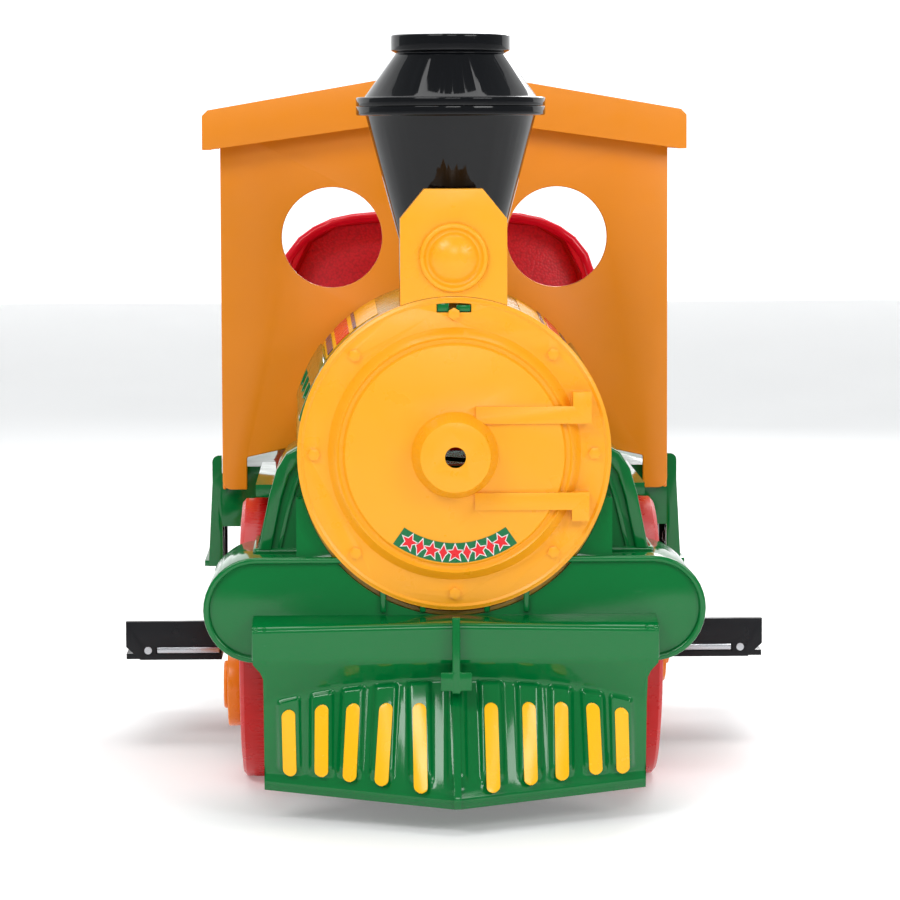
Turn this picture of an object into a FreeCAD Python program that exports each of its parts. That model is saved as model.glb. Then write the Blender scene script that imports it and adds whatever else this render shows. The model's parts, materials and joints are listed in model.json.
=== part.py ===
import FreeCAD, Part
import math
import os
import re
import Sketcher

# Ride-on steam locomotive for a small child: moulded plastic shells on two steel axles,
# a battery, a geared motor on the rear right wheel, side rods and a hinged seat.
# Origin: on the ground under the middle of the bounding box. +Y runs to the rear, +Z up.
# The child sees -X on the left; "left" and "right" below mean -X and +X.

SIZES = {
    # whole vehicle
    "tip_y": -410, "rear_y": 410, "wall": 3, "gap": 0.3, "half_width": 290,
    # running gear
    "front_axle_y": -105, "rear_axle_y": 178, "axle_radius": 6, "axle_half": 172,
    "wheel_radius": 120.5, "wheel_inner": 137.7, "wheel_outer": 177.7, "running_gap": 0.05,
    "hub_radius": 16, "hub_inner": 133.7, "hub_outer": 168.5, "spoke_width": 9,
    "crank_radius": 41.4, "crank_pin": 8, "rod_inner": 178.5, "rod_thick": 12.5,
    "rod_eye": 36, "rod_half_height": 17, "cap_radius": 20.5, "cap_thick": 3.5,
    "crank_angle_left": 14.9, "crank_angle_right": 75.1,
    # boiler, door and lamp
    "boiler_radius": 133, "boiler_nose": 125, "boiler_z": 292, "boiler_front": -329.5, "boiler_rear": -0.4,
    "door_radius": 126.7, "door_z": 299, "door_face": -340, "door_bolt_ring": 113,
    "panel_radius": 88, "panel_rise": 12, "hub_rise": 37, "hub_hole": 8.4,
    "lamp_half": 43, "lamp_top": 512, "lamp_depth": 33, "lamp_chamfer": 19.5, "lens_z": 457,
    # smoke stack
    "stack_y": -250, "stack_neck": 43, "stack_flare": 70, "flange_radius": 78,
    "stack_neck_z": 469, "flange_low": 571, "flange_mid": 578.5, "flange_high": 586,
    "cap_neck": 45, "rim_radius": 49, "rim_low": 624, "stack_top": 637,
    # front body
    "body_half": 128, "floor_z": 62, "deck_top": 262, "saddle_front": -300, "saddle_rear": -200,
    "body_rear": 18, "cylinder_front": -335, "cylinder_rear": -200, "cylinder_half": 203,
    "cylinder_low": 130, "cylinder_high": 215, "well_gap": 10.5,
    # cowcatcher
    "beam_half": 163, "plough_half": 155, "beam_low": 134, "beam_front_z": 161, "beam_rear_z": 168,
    # cab
    "cab_half": 199, "cab_low": 239, "cab_wall": 3.5, "cab_depth": 150, "cab_arch_z": 268,
    "window_radius": 44.6, "window_x": 100, "window_z": 464, "leg_inner": 177,
    "roof_half": 214, "roof_end_low": 542, "roof_end_high": 577, "roof_peak": 613,
    "roof_front": -24, "roof_rear": 176, "side_window_y": 76, "side_window_z": 448,
    # rear body
    "rear_half_top": 209, "rear_half_low": 213, "skirt_low": 168, "rear_deck": 258,
    "rear_front": 20, "tray_half": 128, "bay_half": 100, "bay_front": 190, "bay_rear": 372,
    # seat
    "seat_half": 158, "seat_low": 258.8, "seat_front": 168, "seat_top": 478,
    "hinge_y": 392, "hinge_z": 266, "hinge_pin": 3, "hinge_barrel": 6.5,
    # tow tongue and footrests
    "tow_radius": 6, "tow_y": 398,
    "foot_inner": 203, "foot_front": 50, "foot_rear": 262, "foot_top": 114, "foot_low": 79,
    # drive
    "big_gear_teeth": 48, "small_gear_teeth": 12, "second_gear_teeth": 44, "pinion_teeth": 11,
    "final_module": 1.75, "first_module": 1.25,
}

doc = FreeCAD.newDocument("locomotive")
sheet = doc.addObject("Spreadsheet::Sheet", "sizes")
for row, (word, number) in enumerate(SIZES.items(), start=1):
    sheet.set("A%d" % row, word)
    sheet.set("B%d" % row, str(number))
    sheet.setAlias("B%d" % row, word)
doc.recompute()

NODES = {}
WORD = re.compile(r"[a-z][a-z_0-9]*")
AXES = {
    "X": FreeCAD.Rotation(FreeCAD.Vector(0, 1, 0), 90),
    "Y": FreeCAD.Rotation(FreeCAD.Vector(1, 0, 0), -90),
    "Z": FreeCAD.Rotation(),
}


def formula(text):
    """The expression in the sheet's own words: wheel_radius becomes sizes.wheel_radius."""
    return WORD.sub(lambda m: "sizes." + m[0] if m[0] in SIZES else m[0], str(text))


def size(word):
    """The number in one cell of the sheet, for shapes set in code."""
    return float(sheet.get(word))


def bind(thing, name, text):
    """A property of an object follows the sheet."""
    thing.setExpression(name, formula(text))


def put(thing, at, rotation=None):
    """Gives an object its place: three expressions, and a rotation."""
    if rotation is not None:
        thing.Placement = FreeCAD.Placement(FreeCAD.Vector(), rotation)
    for letter, text in zip("xyz", at):
        bind(thing, "Placement.Base." + letter, text)
    return thing


def box(label, lengths, corner, rotation=None):
    made = doc.addObject("Part::Box", label)
    for name, text in zip(("Length", "Width", "Height"), lengths):
        bind(made, name, text)
    return put(made, corner, rotation)


def slab(label, low, high):
    """A box between two corners, each given as three expressions."""
    lengths = ["(%s) - (%s)" % (far, near) for near, far in zip(low, high)]
    return box(label, lengths, low)


def rod(label, radius, length, start, along="Z", sector=None):
    """A cylinder from its start, along a row axis."""
    made = doc.addObject("Part::Cylinder", label)
    bind(made, "Radius", radius)
    bind(made, "Height", length)
    if sector is not None:
        made.Angle = sector
    return put(made, start, AXES[along])


def taper(label, extra, start_y, length, sector=None):
    """A cone along the boiler that keeps a set distance from its tapered skin."""
    made = doc.addObject("Part::Cone", label)
    slope = "(boiler_radius - boiler_nose) / (boiler_rear - boiler_front)"
    near = "boiler_nose + ((%s) - boiler_front) * %s + (%s)" % (start_y, slope, extra)
    bind(made, "Radius1", near)
    bind(made, "Radius2", near + " + (%s) * %s" % (length, slope))
    bind(made, "Height", length)
    if sector is not None:
        made.Angle = sector
    return put(made, ("0", start_y, "boiler_z"), AXES["Y"])


def prism(label, radius, length, start, along="Z"):
    """A hexagonal bar."""
    made = doc.addObject("Part::Prism", label)
    made.Polygon = 6
    bind(made, "Circumradius", radius)
    bind(made, "Height", length)
    return put(made, start, AXES[along])


def fuse(label, *parts):
    made = doc.addObject("Part::MultiFuse", label)
    made.Shapes = list(parts)
    made.Refine = True
    return made


def gather(label, *parts):
    """Like pieces that don't touch, kept as one node."""
    made = doc.addObject("Part::Compound", label)
    made.Links = list(parts)
    return made


def cut(label, base, tool, *more):
    made = doc.addObject("Part::Cut", label)
    made.Base = base
    made.Tool = fuse(label + "_tools", tool, *more) if more else tool
    made.Refine = True
    return made


def rounded(label, base, radius, chosen):
    """Rounds the edges whose middle point passes a test."""
    doc.recompute()
    made = doc.addObject("Part::Fillet", label)
    made.Base = base
    picks = []
    for number, edge in enumerate(base.Shape.Edges, start=1):
        if chosen(edge, edge.valueAt((edge.FirstParameter + edge.LastParameter) / 2)):
            picks.append((number, radius, radius))
    if not picks:
        raise RuntimeError(label + ": no edge to round")
    made.Edges = picks
    return made


def upright(edge, axis):
    """Whether an edge is straight and runs along a row axis, 0 for X, 1 for Y, 2 for Z."""
    if edge.Curve.TypeId != "Part::GeomLine":
        return False
    return abs(edge.tangentAt(edge.FirstParameter)[axis]) > 0.999


def plane(body, role):
    return next(part for part in body.Origin.OriginFeatures if part.Role == role)


def drawing(body, role, loops, shift=None):
    """A sketch on an origin plane: each loop is a list of corners, or a circle (x, y, r)."""
    sketch = body.newObject("Sketcher::SketchObject", body.Name + "_sketch")
    sketch.AttachmentSupport = [(plane(body, role), "")]
    sketch.MapMode = "FlatFace"
    if shift is not None:
        sketch.setExpression("AttachmentOffset.Base.z", formula(shift))
    for loop in loops:
        if isinstance(loop, tuple):
            draw_circle(sketch, *loop)
        else:
            draw_corners(sketch, loop)
    return sketch


def pin_point(sketch, line, end, name, x_text, y_text):
    """Holds a point of the sketch at a place given by two expressions."""
    for kind, letter, text in (("DistanceX", "x", x_text), ("DistanceY", "y", y_text)):
        index = sketch.addConstraint(Sketcher.Constraint(kind, -1, 1, line, end, 1.0))
        sketch.renameConstraint(index, name + letter)
        sketch.setExpression("Constraints." + name + letter, formula(text))


def draw_corners(sketch, corners):
    first = sketch.GeometryCount
    count = len(corners)
    turn = 2 * math.pi / count
    for step in range(count):
        ends = [FreeCAD.Vector(math.cos(turn * k), math.sin(turn * k), 0) for k in (step, step + 1)]
        sketch.addGeometry(Part.LineSegment(*ends), False)
    for step in range(count):
        following = first + (step + 1) % count
        sketch.addConstraint(Sketcher.Constraint("Coincident", first + step, 2, following, 1))
    for step, (x_text, y_text) in enumerate(corners):
        pin_point(sketch, first + step, 1, "corner%d" % (first + step), x_text, y_text)


def draw_circle(sketch, x_text, y_text, radius):
    line = sketch.addGeometry(Part.Circle(FreeCAD.Vector(), FreeCAD.Vector(0, 0, 1), 5), False)
    pin_point(sketch, line, 3, "centre%d" % line, x_text, y_text)
    index = sketch.addConstraint(Sketcher.Constraint("Radius", line, 5.0))
    sketch.renameConstraint(index, "radius%d" % line)
    sketch.setExpression("Constraints.radius%d" % line, formula(radius))


def padded(label, role, loops, length, shift=None, backwards=False, middle=False):
    """A body padded from one sketch."""
    body = doc.addObject("PartDesign::Body", label)
    sketch = drawing(body, role, loops, shift)
    pad = body.newObject("PartDesign::Pad", label + "_pad")
    pad.Profile = sketch
    bind(pad, "Length", length)
    pad.Reversed = backwards
    pad.Midplane = middle
    return body


def turned(label, role, corners, axis="V_Axis"):
    """A body turned from one sketch about the sketch's own axis."""
    body = doc.addObject("PartDesign::Body", label)
    sketch = drawing(body, role, [corners])
    spin = body.newObject("PartDesign::Revolution", label + "_turn")
    spin.Profile = sketch
    spin.ReferenceAxis = (sketch, [axis])
    spin.Angle = 360
    return body


def repeated(body, feature, role, count):
    """A polar pattern of a feature about one of the body's own axes."""
    pattern = body.newObject("PartDesign::PolarPattern", body.Name + "_pattern")
    pattern.Originals = [feature]
    pattern.Axis = (plane(body, role), [""])
    pattern.Angle = 360
    pattern.Occurrences = count
    body.Tip = pattern
    return pattern


def node(name, thing):
    """Marks a finished sub-part; its name is its file's name."""
    thing.Label = name
    NODES[name] = thing
    return thing


def gear_wire(teeth, module, turn=0.0):
    """A closed outline of straight-sided teeth a little thinner than half the pitch."""
    pitch = teeth * module / 2
    step = 2 * math.pi / teeth
    stations = ((-0.33, -1.2), (-0.21, 0.0), (-0.10, 0.8), (0.10, 0.8), (0.21, 0.0), (0.33, -1.2))
    points = []
    for tooth in range(teeth):
        for share, rise in stations:
            angle = (tooth + share) * step + turn
            reach = pitch + rise * module
            points.append(FreeCAD.Vector(0, reach * math.cos(angle), reach * math.sin(angle)))
    return Part.makePolygon(points + points[:1])


def gear_solid(teeth, module, start, length, turn=0.0):
    """A gear along X about the origin, from its start."""
    face = Part.Face(gear_wire(teeth, module, turn))
    made = face.extrude(FreeCAD.Vector(length, 0, 0))
    made.translate(FreeCAD.Vector(start, 0, 0))
    return made


def x_cylinder(radius, start, length):
    return Part.makeCylinder(radius, length, FreeCAD.Vector(start, 0, 0), FreeCAD.Vector(1, 0, 0))


def feature(label, shape, y, z):
    """A shape made in code about the X axis, placed on its own centre line."""
    made = doc.addObject("Part::Feature", label)
    made.Shape = shape
    made.Placement = FreeCAD.Placement(FreeCAD.Vector(0, y, z), FreeCAD.Rotation())
    return made


def symmetric(points):
    """An outline from its right half, top to bottom, mirrored to the left."""
    left = [("-(%s)" % x, y) for x, y in reversed(points)]
    return points + left


def make_front_body():
    """Saddle, deck, frame between the wheels and the cylinder block, all one thin moulding."""

    def mass(inset, key):
        """The outer form, or the hollow when it is inset by the wall."""
        drop = str(inset)
        saddle_line = symmetric([("124 - " + drop, "303 - " + drop), ("136 - " + drop, "296 - " + drop),
                                 ("144 - " + drop, "283"), ("150 - " + drop, "262"),
                                 ("159 - " + drop, "217"), ("159 - " + drop, "190")])
        saddle = padded(key + "_saddle", "XZ_Plane", [saddle_line],
                        "saddle_rear - saddle_front - 2 * " + drop, backwards=True)
        put(saddle, ("0", "saddle_front + " + drop, "0"))
        waist_line = symmetric([("150 - " + drop, "deck_top - " + drop), ("161 - " + drop, "217"),
                                ("161 - " + drop, "190")])
        waist = padded(key + "_waist", "XZ_Plane", [waist_line],
                       "body_rear - saddle_rear - " + drop, backwards=True)
        put(waist, ("0", "saddle_rear", "0"))
        deck = slab(key + "_deck", ("-164 + " + drop, "saddle_rear + " + drop, "252"),
                    ("164 - " + drop, "body_rear - " + drop, "deck_top - " + drop))
        frame_low = "floor_z" if inset == 0 else "floor_z - 5"
        frame = slab(key + "_frame", ("-body_half + " + drop, "-330 + " + drop, frame_low),
                     ("body_half - " + drop, "body_rear - " + drop, "deck_top - " + drop))
        radius = "(cylinder_high - cylinder_low) / 2"
        centre = "(cylinder_high + cylinder_low) / 2"
        reach = "cylinder_half - " + radius
        long = "cylinder_rear - cylinder_front - 2 * " + drop
        start = "cylinder_front + " + drop
        ends = [rod(key + "_end%d" % n, radius + " - " + drop, long,
                    (sign + "(" + reach + ")", start, centre), "Y")
                for n, sign in enumerate(("-", ""))]
        middle = slab(key + "_block", ("-(" + reach + ")", start, "cylinder_low + " + drop),
                      (reach, "cylinder_rear - " + drop, "cylinder_high - " + drop))
        return fuse(key, saddle, waist, deck, frame, middle, *ends)

    def wells(extra, key):
        """The spaces the front wheels turn in, on both sides."""
        radius = "wheel_radius + well_gap + " + str(extra)
        wide = "60 + " + str(extra)
        right = "130.5 - " + str(extra)
        parts = [rod(key + "_right", radius, wide, (right, "front_axle_y", "wheel_radius"), "X"),
                 rod(key + "_left", radius, wide, ("-190.5", "front_axle_y", "wheel_radius"), "X")]
        return parts

    outer = mass(0, "front_outer")
    hollow = mass(3, "front_hollow")
    cradle = taper("front_cradle", "3 + gap", "-400", "700")
    hollow = cut("front_hollow_kept", hollow, cradle, *wells(3, "thick_well"))
    seat = taper("boiler_seat", "gap", "-400", "700")
    holes = [rod("front_axle_hole", "axle_radius + 0.02", "300",
                 ("-150", "front_axle_y", "wheel_radius"), "X")]
    node("front_body", cut("front_body_cut", outer, hollow, seat, *holes, *wells(0, "well")))


def plough_tip(x):
    """How far forward the plough's lower edge stands: a blunt V in plan."""
    return size("tip_y") + 72 * abs(x) / size("plough_half")


def cowcatcher_section(x):
    """Thin closed section across the beam and the plough at one place along X."""
    share = abs(x) / size("plough_half")
    wall = size("wall")
    tip, low = plough_tip(x), 20.5 + 5 * share
    beam_y, beam_top = -372 + 4 * share, size("beam_front_z") + 3.5 - 3.5 * share
    crease_y, crease_z = -352 + 7 * share, 117 - 20 * share ** 2
    rear_y, rear_top = size("cylinder_front") - size("gap"), size("beam_rear_z")
    outer = [(rear_y, rear_top), (beam_y, beam_top), (beam_y + 2, size("beam_low")), (crease_y, crease_z),
             (tip + 2, low + 13), (tip, low + 7), (tip + 4, low)]
    inner = [(tip + 10, low + 1.5), (tip + 5.6, low + 13.5), (crease_y + 3.6, crease_z - 0.5),
             (beam_y + 6, size("beam_low") - 1.5), (beam_y + 4, beam_top - wall - 0.5),
             (rear_y, rear_top - wall)]
    return [FreeCAD.Vector(x, y, z) for y, z in outer + inner]


def shell_between(sections):
    """A closed solid from a row of outlines; the left half's triangles mirror the right half's."""
    faces = []
    for near, far in zip(sections, sections[1:]):
        for k in range(len(near)):
            after = (k + 1) % len(near)
            trios = ((near[k], near[after], far[after]), (near[k], far[after], far[k]))
            if near[0].x < 0:
                trios = ((near[k], near[after], far[k]), (near[after], far[after], far[k]))
            for trio in trios:
                faces.append(Part.Face(Part.makePolygon(list(trio) + [trio[0]])))
    for end in (sections[0], sections[-1]):
        faces.append(Part.Face(Part.makePolygon(end + end[:1])))
    solid = Part.Solid(Part.Shell(faces))
    return solid if solid.Volume > 0 else solid.reversed()


def make_cowcatcher():
    """Bumper beam and plough in one thin moulding, with end plates and square beam ends."""
    half, wall = size("plough_half"), size("wall")
    steps = 10
    shell = shell_between([cowcatcher_section(half * k / steps) for k in range(-steps, steps + 1)])
    ends = []
    for side in (-1, 1):
        outline = cowcatcher_section(side * half)[:7]
        outline.append(FreeCAD.Vector(side * half, size("cylinder_front") - size("gap"), 60))
        plate = Part.Face(Part.makePolygon(outline + outline[:1]))
        ends.append(plate.extrude(FreeCAD.Vector(-side * wall, 0, 0)))
        start = half - 2 if side > 0 else -size("beam_half")
        ends.append(Part.makeBox(size("beam_half") - half + 2, 30, 26, FreeCAD.Vector(start, -366, 134.5)))
    made = doc.addObject("Part::Feature", "cowcatcher_shape")
    made.Shape = shell.fuse(ends).removeSplitter()
    made.Placement = FreeCAD.Placement()
    node("cowcatcher", made)


# each stripe's x at its top and its foot, then the two heights
PLOUGH_BARS = ((-135, -134, 93, 39.5), (-108, -108.5, 97, 40), (-82.5, -86, 97.8, 37),
               (-56, -60.5, 98, 35), (-29.5, -29, 98, 31.2), (28, 28.8, 98, 31.2),
               (58.6, 59.4, 98, 35), (85, 85, 97.8, 37), (110.5, 113, 97, 40), (134, 135.5, 93, 39.5))


def plough_point(x, z):
    """A point on the plough's sloping face."""
    section = cowcatcher_section(x)
    crease, foot = section[3], section[4]
    share = (z - foot.z) / (crease.z - foot.z)
    return FreeCAD.Vector(x, foot.y + share * (crease.y - foot.y), z)


def bar_section(x, z, half_width):
    """Four corners of a stripe that lies on the plough's face at one height."""
    lift, thick = 0.5, 1.2
    here = plough_point(x, z)
    across = plough_point(x + 4, z) - plough_point(x - 4, z)
    normal = across.cross(plough_point(x, z + 4) - here).normalize()
    if normal.y > 0:
        normal = -normal
    across = across.normalize() * half_width
    low, high = here + normal * lift, here + normal * (lift + thick)
    return [low - across, low + across, high + across, high - across]


def make_plough_bars():
    """The raised stripes on the plough's sloping face, longer towards the nose."""
    bars, steps = [], 8
    for top_x, low_x, top_z, low_z in PLOUGH_BARS:
        sections = []
        for k in range(steps + 1):
            share = 0.5 - 0.5 * math.cos(math.pi * k / steps)
            z = top_z + (low_z - top_z) * share
            end_gap = min(top_z - z, z - low_z, 5.5)
            half_width = math.sqrt(max(5.5 ** 2 - (5.5 - end_gap) ** 2, 1.5 ** 2))
            sections.append(bar_section(top_x + (low_x - top_x) * share, z, half_width))
        bars.append(shell_between(sections))
    made = doc.addObject("Part::Feature", "bars_shape")
    made.Shape = Part.makeCompound(bars)
    made.Placement = FreeCAD.Placement()
    node("plough_bars", made)


def make_centre_rib():
    """Upright rib and clip block on the nose."""
    upper = slab("rib_upper", ("-3.2", "-381", "110"), ("3.2", "-372.4", "171"))
    block = slab("rib_block", ("-12.5", "-381", "112"), ("12.5", "-373", "127"))
    node("nose_clip", fuse("nose_clip_fuse", upper, block))


def make_boiler():
    tube = taper("boiler_out", "0", "boiler_front", "boiler_rear - boiler_front")
    bore = taper("boiler_in", "-wall", "-400", "600")
    neck = rod("stack_socket", "stack_neck - 8", "60", ("0", "stack_y", "400"))
    node("boiler", cut("boiler_cut", tube, bore, neck))


def make_door():
    """Smokebox door: stepped disc with a hollow hub, a ring of moulded bolt heads, two hinge straps."""
    rise = "-panel_rise"
    line = [("hub_hole", "-hub_rise"), ("28", "-hub_rise"), ("35", rise), ("panel_radius", rise),
            ("90", "-8"), ("93", "-8"), ("95", "-10"), ("102", "0"), ("door_radius", "0"),
            ("door_radius", "9.5"), ("door_radius - wall", "9.5"), ("door_radius - wall", "wall"),
            ("100", "wall"), ("94", "-5"), ("88", "-5"), ("85", "-9"), ("32", "-9"), ("25", "-34"),
            ("hub_hole", "-34")]
    body = turned("door_body", "XY_Plane", line)
    bolt_sketch = drawing(body, "XZ_Plane", [[("door_bolt_ring + 5 * cos(%d)" % a, "5 * sin(%d)" % a)
                                              for a in range(0, 360, 60)]], "-1")
    bolt = body.newObject("PartDesign::Pad", "door_bolt")
    bolt.Profile = bolt_sketch
    bolt.Length = 4
    repeated(body, bolt, "Y_Axis", 8)
    put(body, ("0", "door_face", "door_z"))
    straps = [slab("strap_high", ("17", "door_face - 14.5", "door_z + 25"),
                   ("110", "door_face - 11", "door_z + 39")),
              slab("strap_low", ("16", "door_face - 14.5", "door_z - 44.5"),
                   ("108", "door_face - 11", "door_z - 30.5")),
              slab("knuckle_high", ("95", "door_face - 14.5", "door_z + 25"),
                   ("110", "door_face + 1", "door_z + 50")),
              slab("knuckle_low", ("94", "door_face - 14.5", "door_z - 53.5"),
                   ("108", "door_face + 1", "door_z - 30.5"))]
    slot = slab("tab_slot", ("-14", "door_face - 2", "413"), ("14", "door_face + 20", "421.5"))
    node("smokebox_door", cut("door_cut", fuse("door_fuse", body, *straps), slot))

    band = rod("label_out", "panel_radius - 1", "0.5", ("0", "door_face - panel_rise - 0.55", "door_z"),
               "Y", 70)
    hole = rod("label_in", "71", "0.6", ("0", "door_face - panel_rise - 0.6", "door_z"), "Y")
    # the sector starts at +X and turns towards -Z, so it is brought under the hub
    band.Placement.Rotation = FreeCAD.Rotation(FreeCAD.Vector(0, 1, 0), 55) * AXES["Y"]
    node("door_label", cut("label_cut", band, hole))
    left = slab("tab_left", ("-13.4", "door_face + 0.5", "413.6"), ("-4", "door_face + 9", "420.8"))
    right = slab("tab_right", ("2", "door_face + 0.5", "413.6"), ("13.4", "door_face + 9", "419"))
    node("lamp_tabs", gather("lamp_tabs_pair", left, right))


def make_lamp():
    """Headlamp box over the door, with chamfered top corners, and its round lens."""
    outline = symmetric([("lamp_half - lamp_chamfer", "lamp_top"), ("lamp_half", "lamp_top - 24"),
                         ("lamp_half", "400")])
    outer = padded("lamp_out", "XZ_Plane", [outline], "lamp_depth", backwards=True)
    put(outer, ("0", "door_face", "0"))
    inside = symmetric([("lamp_half - lamp_chamfer - 1.5", "lamp_top - wall"),
                        ("lamp_half - wall", "lamp_top - 25.5"),
                        ("lamp_half - wall", "395")])
    hollow = padded("lamp_in", "XZ_Plane", [inside], "lamp_depth", backwards=True)
    put(hollow, ("0", "door_face + wall", "0"))
    disc = rod("lamp_seat", "door_radius + gap", "60", ("0", "door_face - 10", "door_z"), "Y")
    drum = taper("lamp_seat_drum", "gap", "door_face - 10", "60")
    socket = rod("lens_socket", "22", "20", ("0", "door_face - 5", "lens_z"), "Y")
    node("headlamp", cut("headlamp_cut", outer, hollow, disc, drum, socket))
    lens = turned("lens_body", "XY_Plane", [("0", "-10.5"), ("10", "-9"), ("17", "-5.5"), ("20.5", "-1.5"),
                                            ("22.5", "-2"), ("24.5", "-4.5"), ("27", "-4"), ("28", "-1"),
                                            ("28", "-0.1"), ("21.7", "-0.1"), ("21.7", "6"), ("0", "6")])
    node("headlamp_lens", put(lens, ("0", "door_face", "lens_z")))


def make_stack():
    """Flared chimney in two mouldings that meet in the flange."""
    base = turned("stack_base_body", "XZ_Plane", [
        ("stack_neck - wall", "400"), ("stack_neck", "400"), ("stack_neck", "stack_neck_z"),
        ("stack_flare", "flange_low"), ("flange_radius - 1", "flange_low"),
        ("flange_radius", "flange_low + 1"),
        ("flange_radius", "flange_mid"), ("flange_radius - 4", "flange_mid"),
        ("flange_radius - 4", "flange_low + 3"), ("stack_flare - wall", "flange_low + 3"),
        ("stack_neck - wall", "stack_neck_z + 1")])
    put(base, ("0", "stack_y", "0"))
    drum = taper("stack_drum", "gap", "-350", "200")
    node("stack_base", cut("stack_base_cut", base, drum))
    top = turned("stack_cap_body", "XZ_Plane", [
        ("flange_radius", "flange_mid + gap"), ("flange_radius", "flange_high - 1"),
        ("flange_radius - 1", "flange_high"), ("71", "flange_high"), ("cap_neck", "rim_low - 2"),
        ("rim_radius", "rim_low"), ("rim_radius", "stack_top - 1"), ("rim_radius - 1", "stack_top"),
        ("rim_radius - 4.5", "stack_top"), ("cap_neck - wall", "rim_low - 2"), ("68", "flange_high - wall"),
        ("flange_radius - wall", "flange_high - wall"), ("flange_radius - wall", "flange_mid + gap")])
    node("stack_cap", put(top, ("0", "stack_y", "0")))


def make_boiler_trim():
    """Pipe work moulded close to both flanks, and the printed side bands."""
    rails, bands = [], []
    for name, sign in (("left", -1), ("right", 1)):
        start = -36 if sign > 0 else -166
        relief = taper("relief_" + name, "4.3", "-306", "266", 22)
        relief.Placement.Rotation = FreeCAD.Rotation(FreeCAD.Vector(0, 1, 0), start) * AXES["Y"]
        skin = taper("relief_in_" + name, "gap", "-330", "320")
        near, far = ("90", "160") if sign > 0 else ("-160", "-90")
        gaps = [slab("relief_gap_%s%d" % (name, n), (near, str(-294 + 84 * n), "337"),
                     (far, str(-226 + 84 * n), "350")) for n in range(3)]
        rails.append(cut("relief_cut_" + name, relief, skin, *gaps))
        start = -62 if sign > 0 else -144
        band = taper("band_" + name, "0.7", "-200", "190", 26)
        band.Placement.Rotation = FreeCAD.Rotation(FreeCAD.Vector(0, 1, 0), start) * AXES["Y"]
        inner = taper("band_in_" + name, "0.2", "-240", "260")
        bands.append(cut("band_cut_" + name, band, inner))
    node("handrails", gather("handrails_pair", *rails))
    node("side_bands", gather("side_bands_pair", *bands))


def make_cab():
    """Front wall with round windows, two side walls, pitched roof."""
    outline = symmetric([("0.5", "roof_peak - 8"), ("cab_half", "roof_end_low + 24"),
                         ("cab_half", "cab_low"),
                         ("leg_inner", "cab_low"), ("leg_inner", "cab_arch_z"), ("140", "cab_arch_z + 8")])
    windows = [("-window_x", "window_z", "window_radius"), ("window_x", "window_z", "window_radius")]
    wall = padded("cab_wall_body", "XZ_Plane", [outline] + windows, "cab_wall", backwards=True)
    edges = rounded("cab_wall_soft", wall, 8.0, lambda e, m: upright(e, 1) and m.z < 245 and abs(m.x) > 190)
    node("cab_front", edges)
    for name, sign in (("left", -1), ("right", 1)):
        line = [("cab_wall + 0.3", "cab_low"), ("rear_front - 1", "cab_low"),
                ("rear_front - 1", "rear_deck + 0.5"),
                ("cab_depth - 22", "rear_deck + 0.5"), ("cab_depth", "rear_deck + 60"),
                ("cab_depth", "roof_end_low + 22.5"), ("cab_wall + 0.3", "roof_end_low + 22.5")]
        opening = [("side_window_y - 38", "side_window_z - 42"),
                   ("side_window_y + 38", "side_window_z - 42"),
                   ("side_window_y + 38", "side_window_z + 20"),
                   ("side_window_y + 24", "side_window_z + 42"),
                   ("side_window_y - 24", "side_window_z + 42"),
                   ("side_window_y - 38", "side_window_z + 20")]
        side = padded("cab_side_body_" + name, "YZ_Plane", [line, opening], "cab_wall", backwards=sign > 0)
        put(side, ("%d * cab_half" % sign, "0", "0"))
        node("cab_side_" + name, side)
    shape = symmetric([("0.5", "roof_peak"), ("roof_half - 5", "roof_end_high"),
                       ("roof_half", "roof_end_high - 5"),
                       ("roof_half", "roof_end_low")])
    top = padded("roof_body", "XZ_Plane", [shape], "roof_rear - roof_front", backwards=True)
    put(top, ("0", "roof_front", "0"))
    under = symmetric([("0.5", "roof_peak - 5"), ("roof_half - 6", "roof_end_high - 5"),
                       ("roof_half - 6", "roof_end_low - 10")])
    hollow = padded("roof_in", "XZ_Plane", [under], "roof_rear - roof_front - 8", backwards=True)
    put(hollow, ("0", "roof_front + 4", "0"))
    arch = symmetric([("0.5", "roof_peak - 42"), ("roof_half - 8", "roof_end_low + 0.5"),
                      ("roof_half - 8", "roof_end_low - 10")])
    mouth = padded("roof_mouth", "XZ_Plane", [arch], "roof_rear - roof_front + 20", backwards=True)
    put(mouth, ("0", "roof_front - 10", "0"))
    node("roof", cut("roof_cut", top, hollow, mouth))


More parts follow.
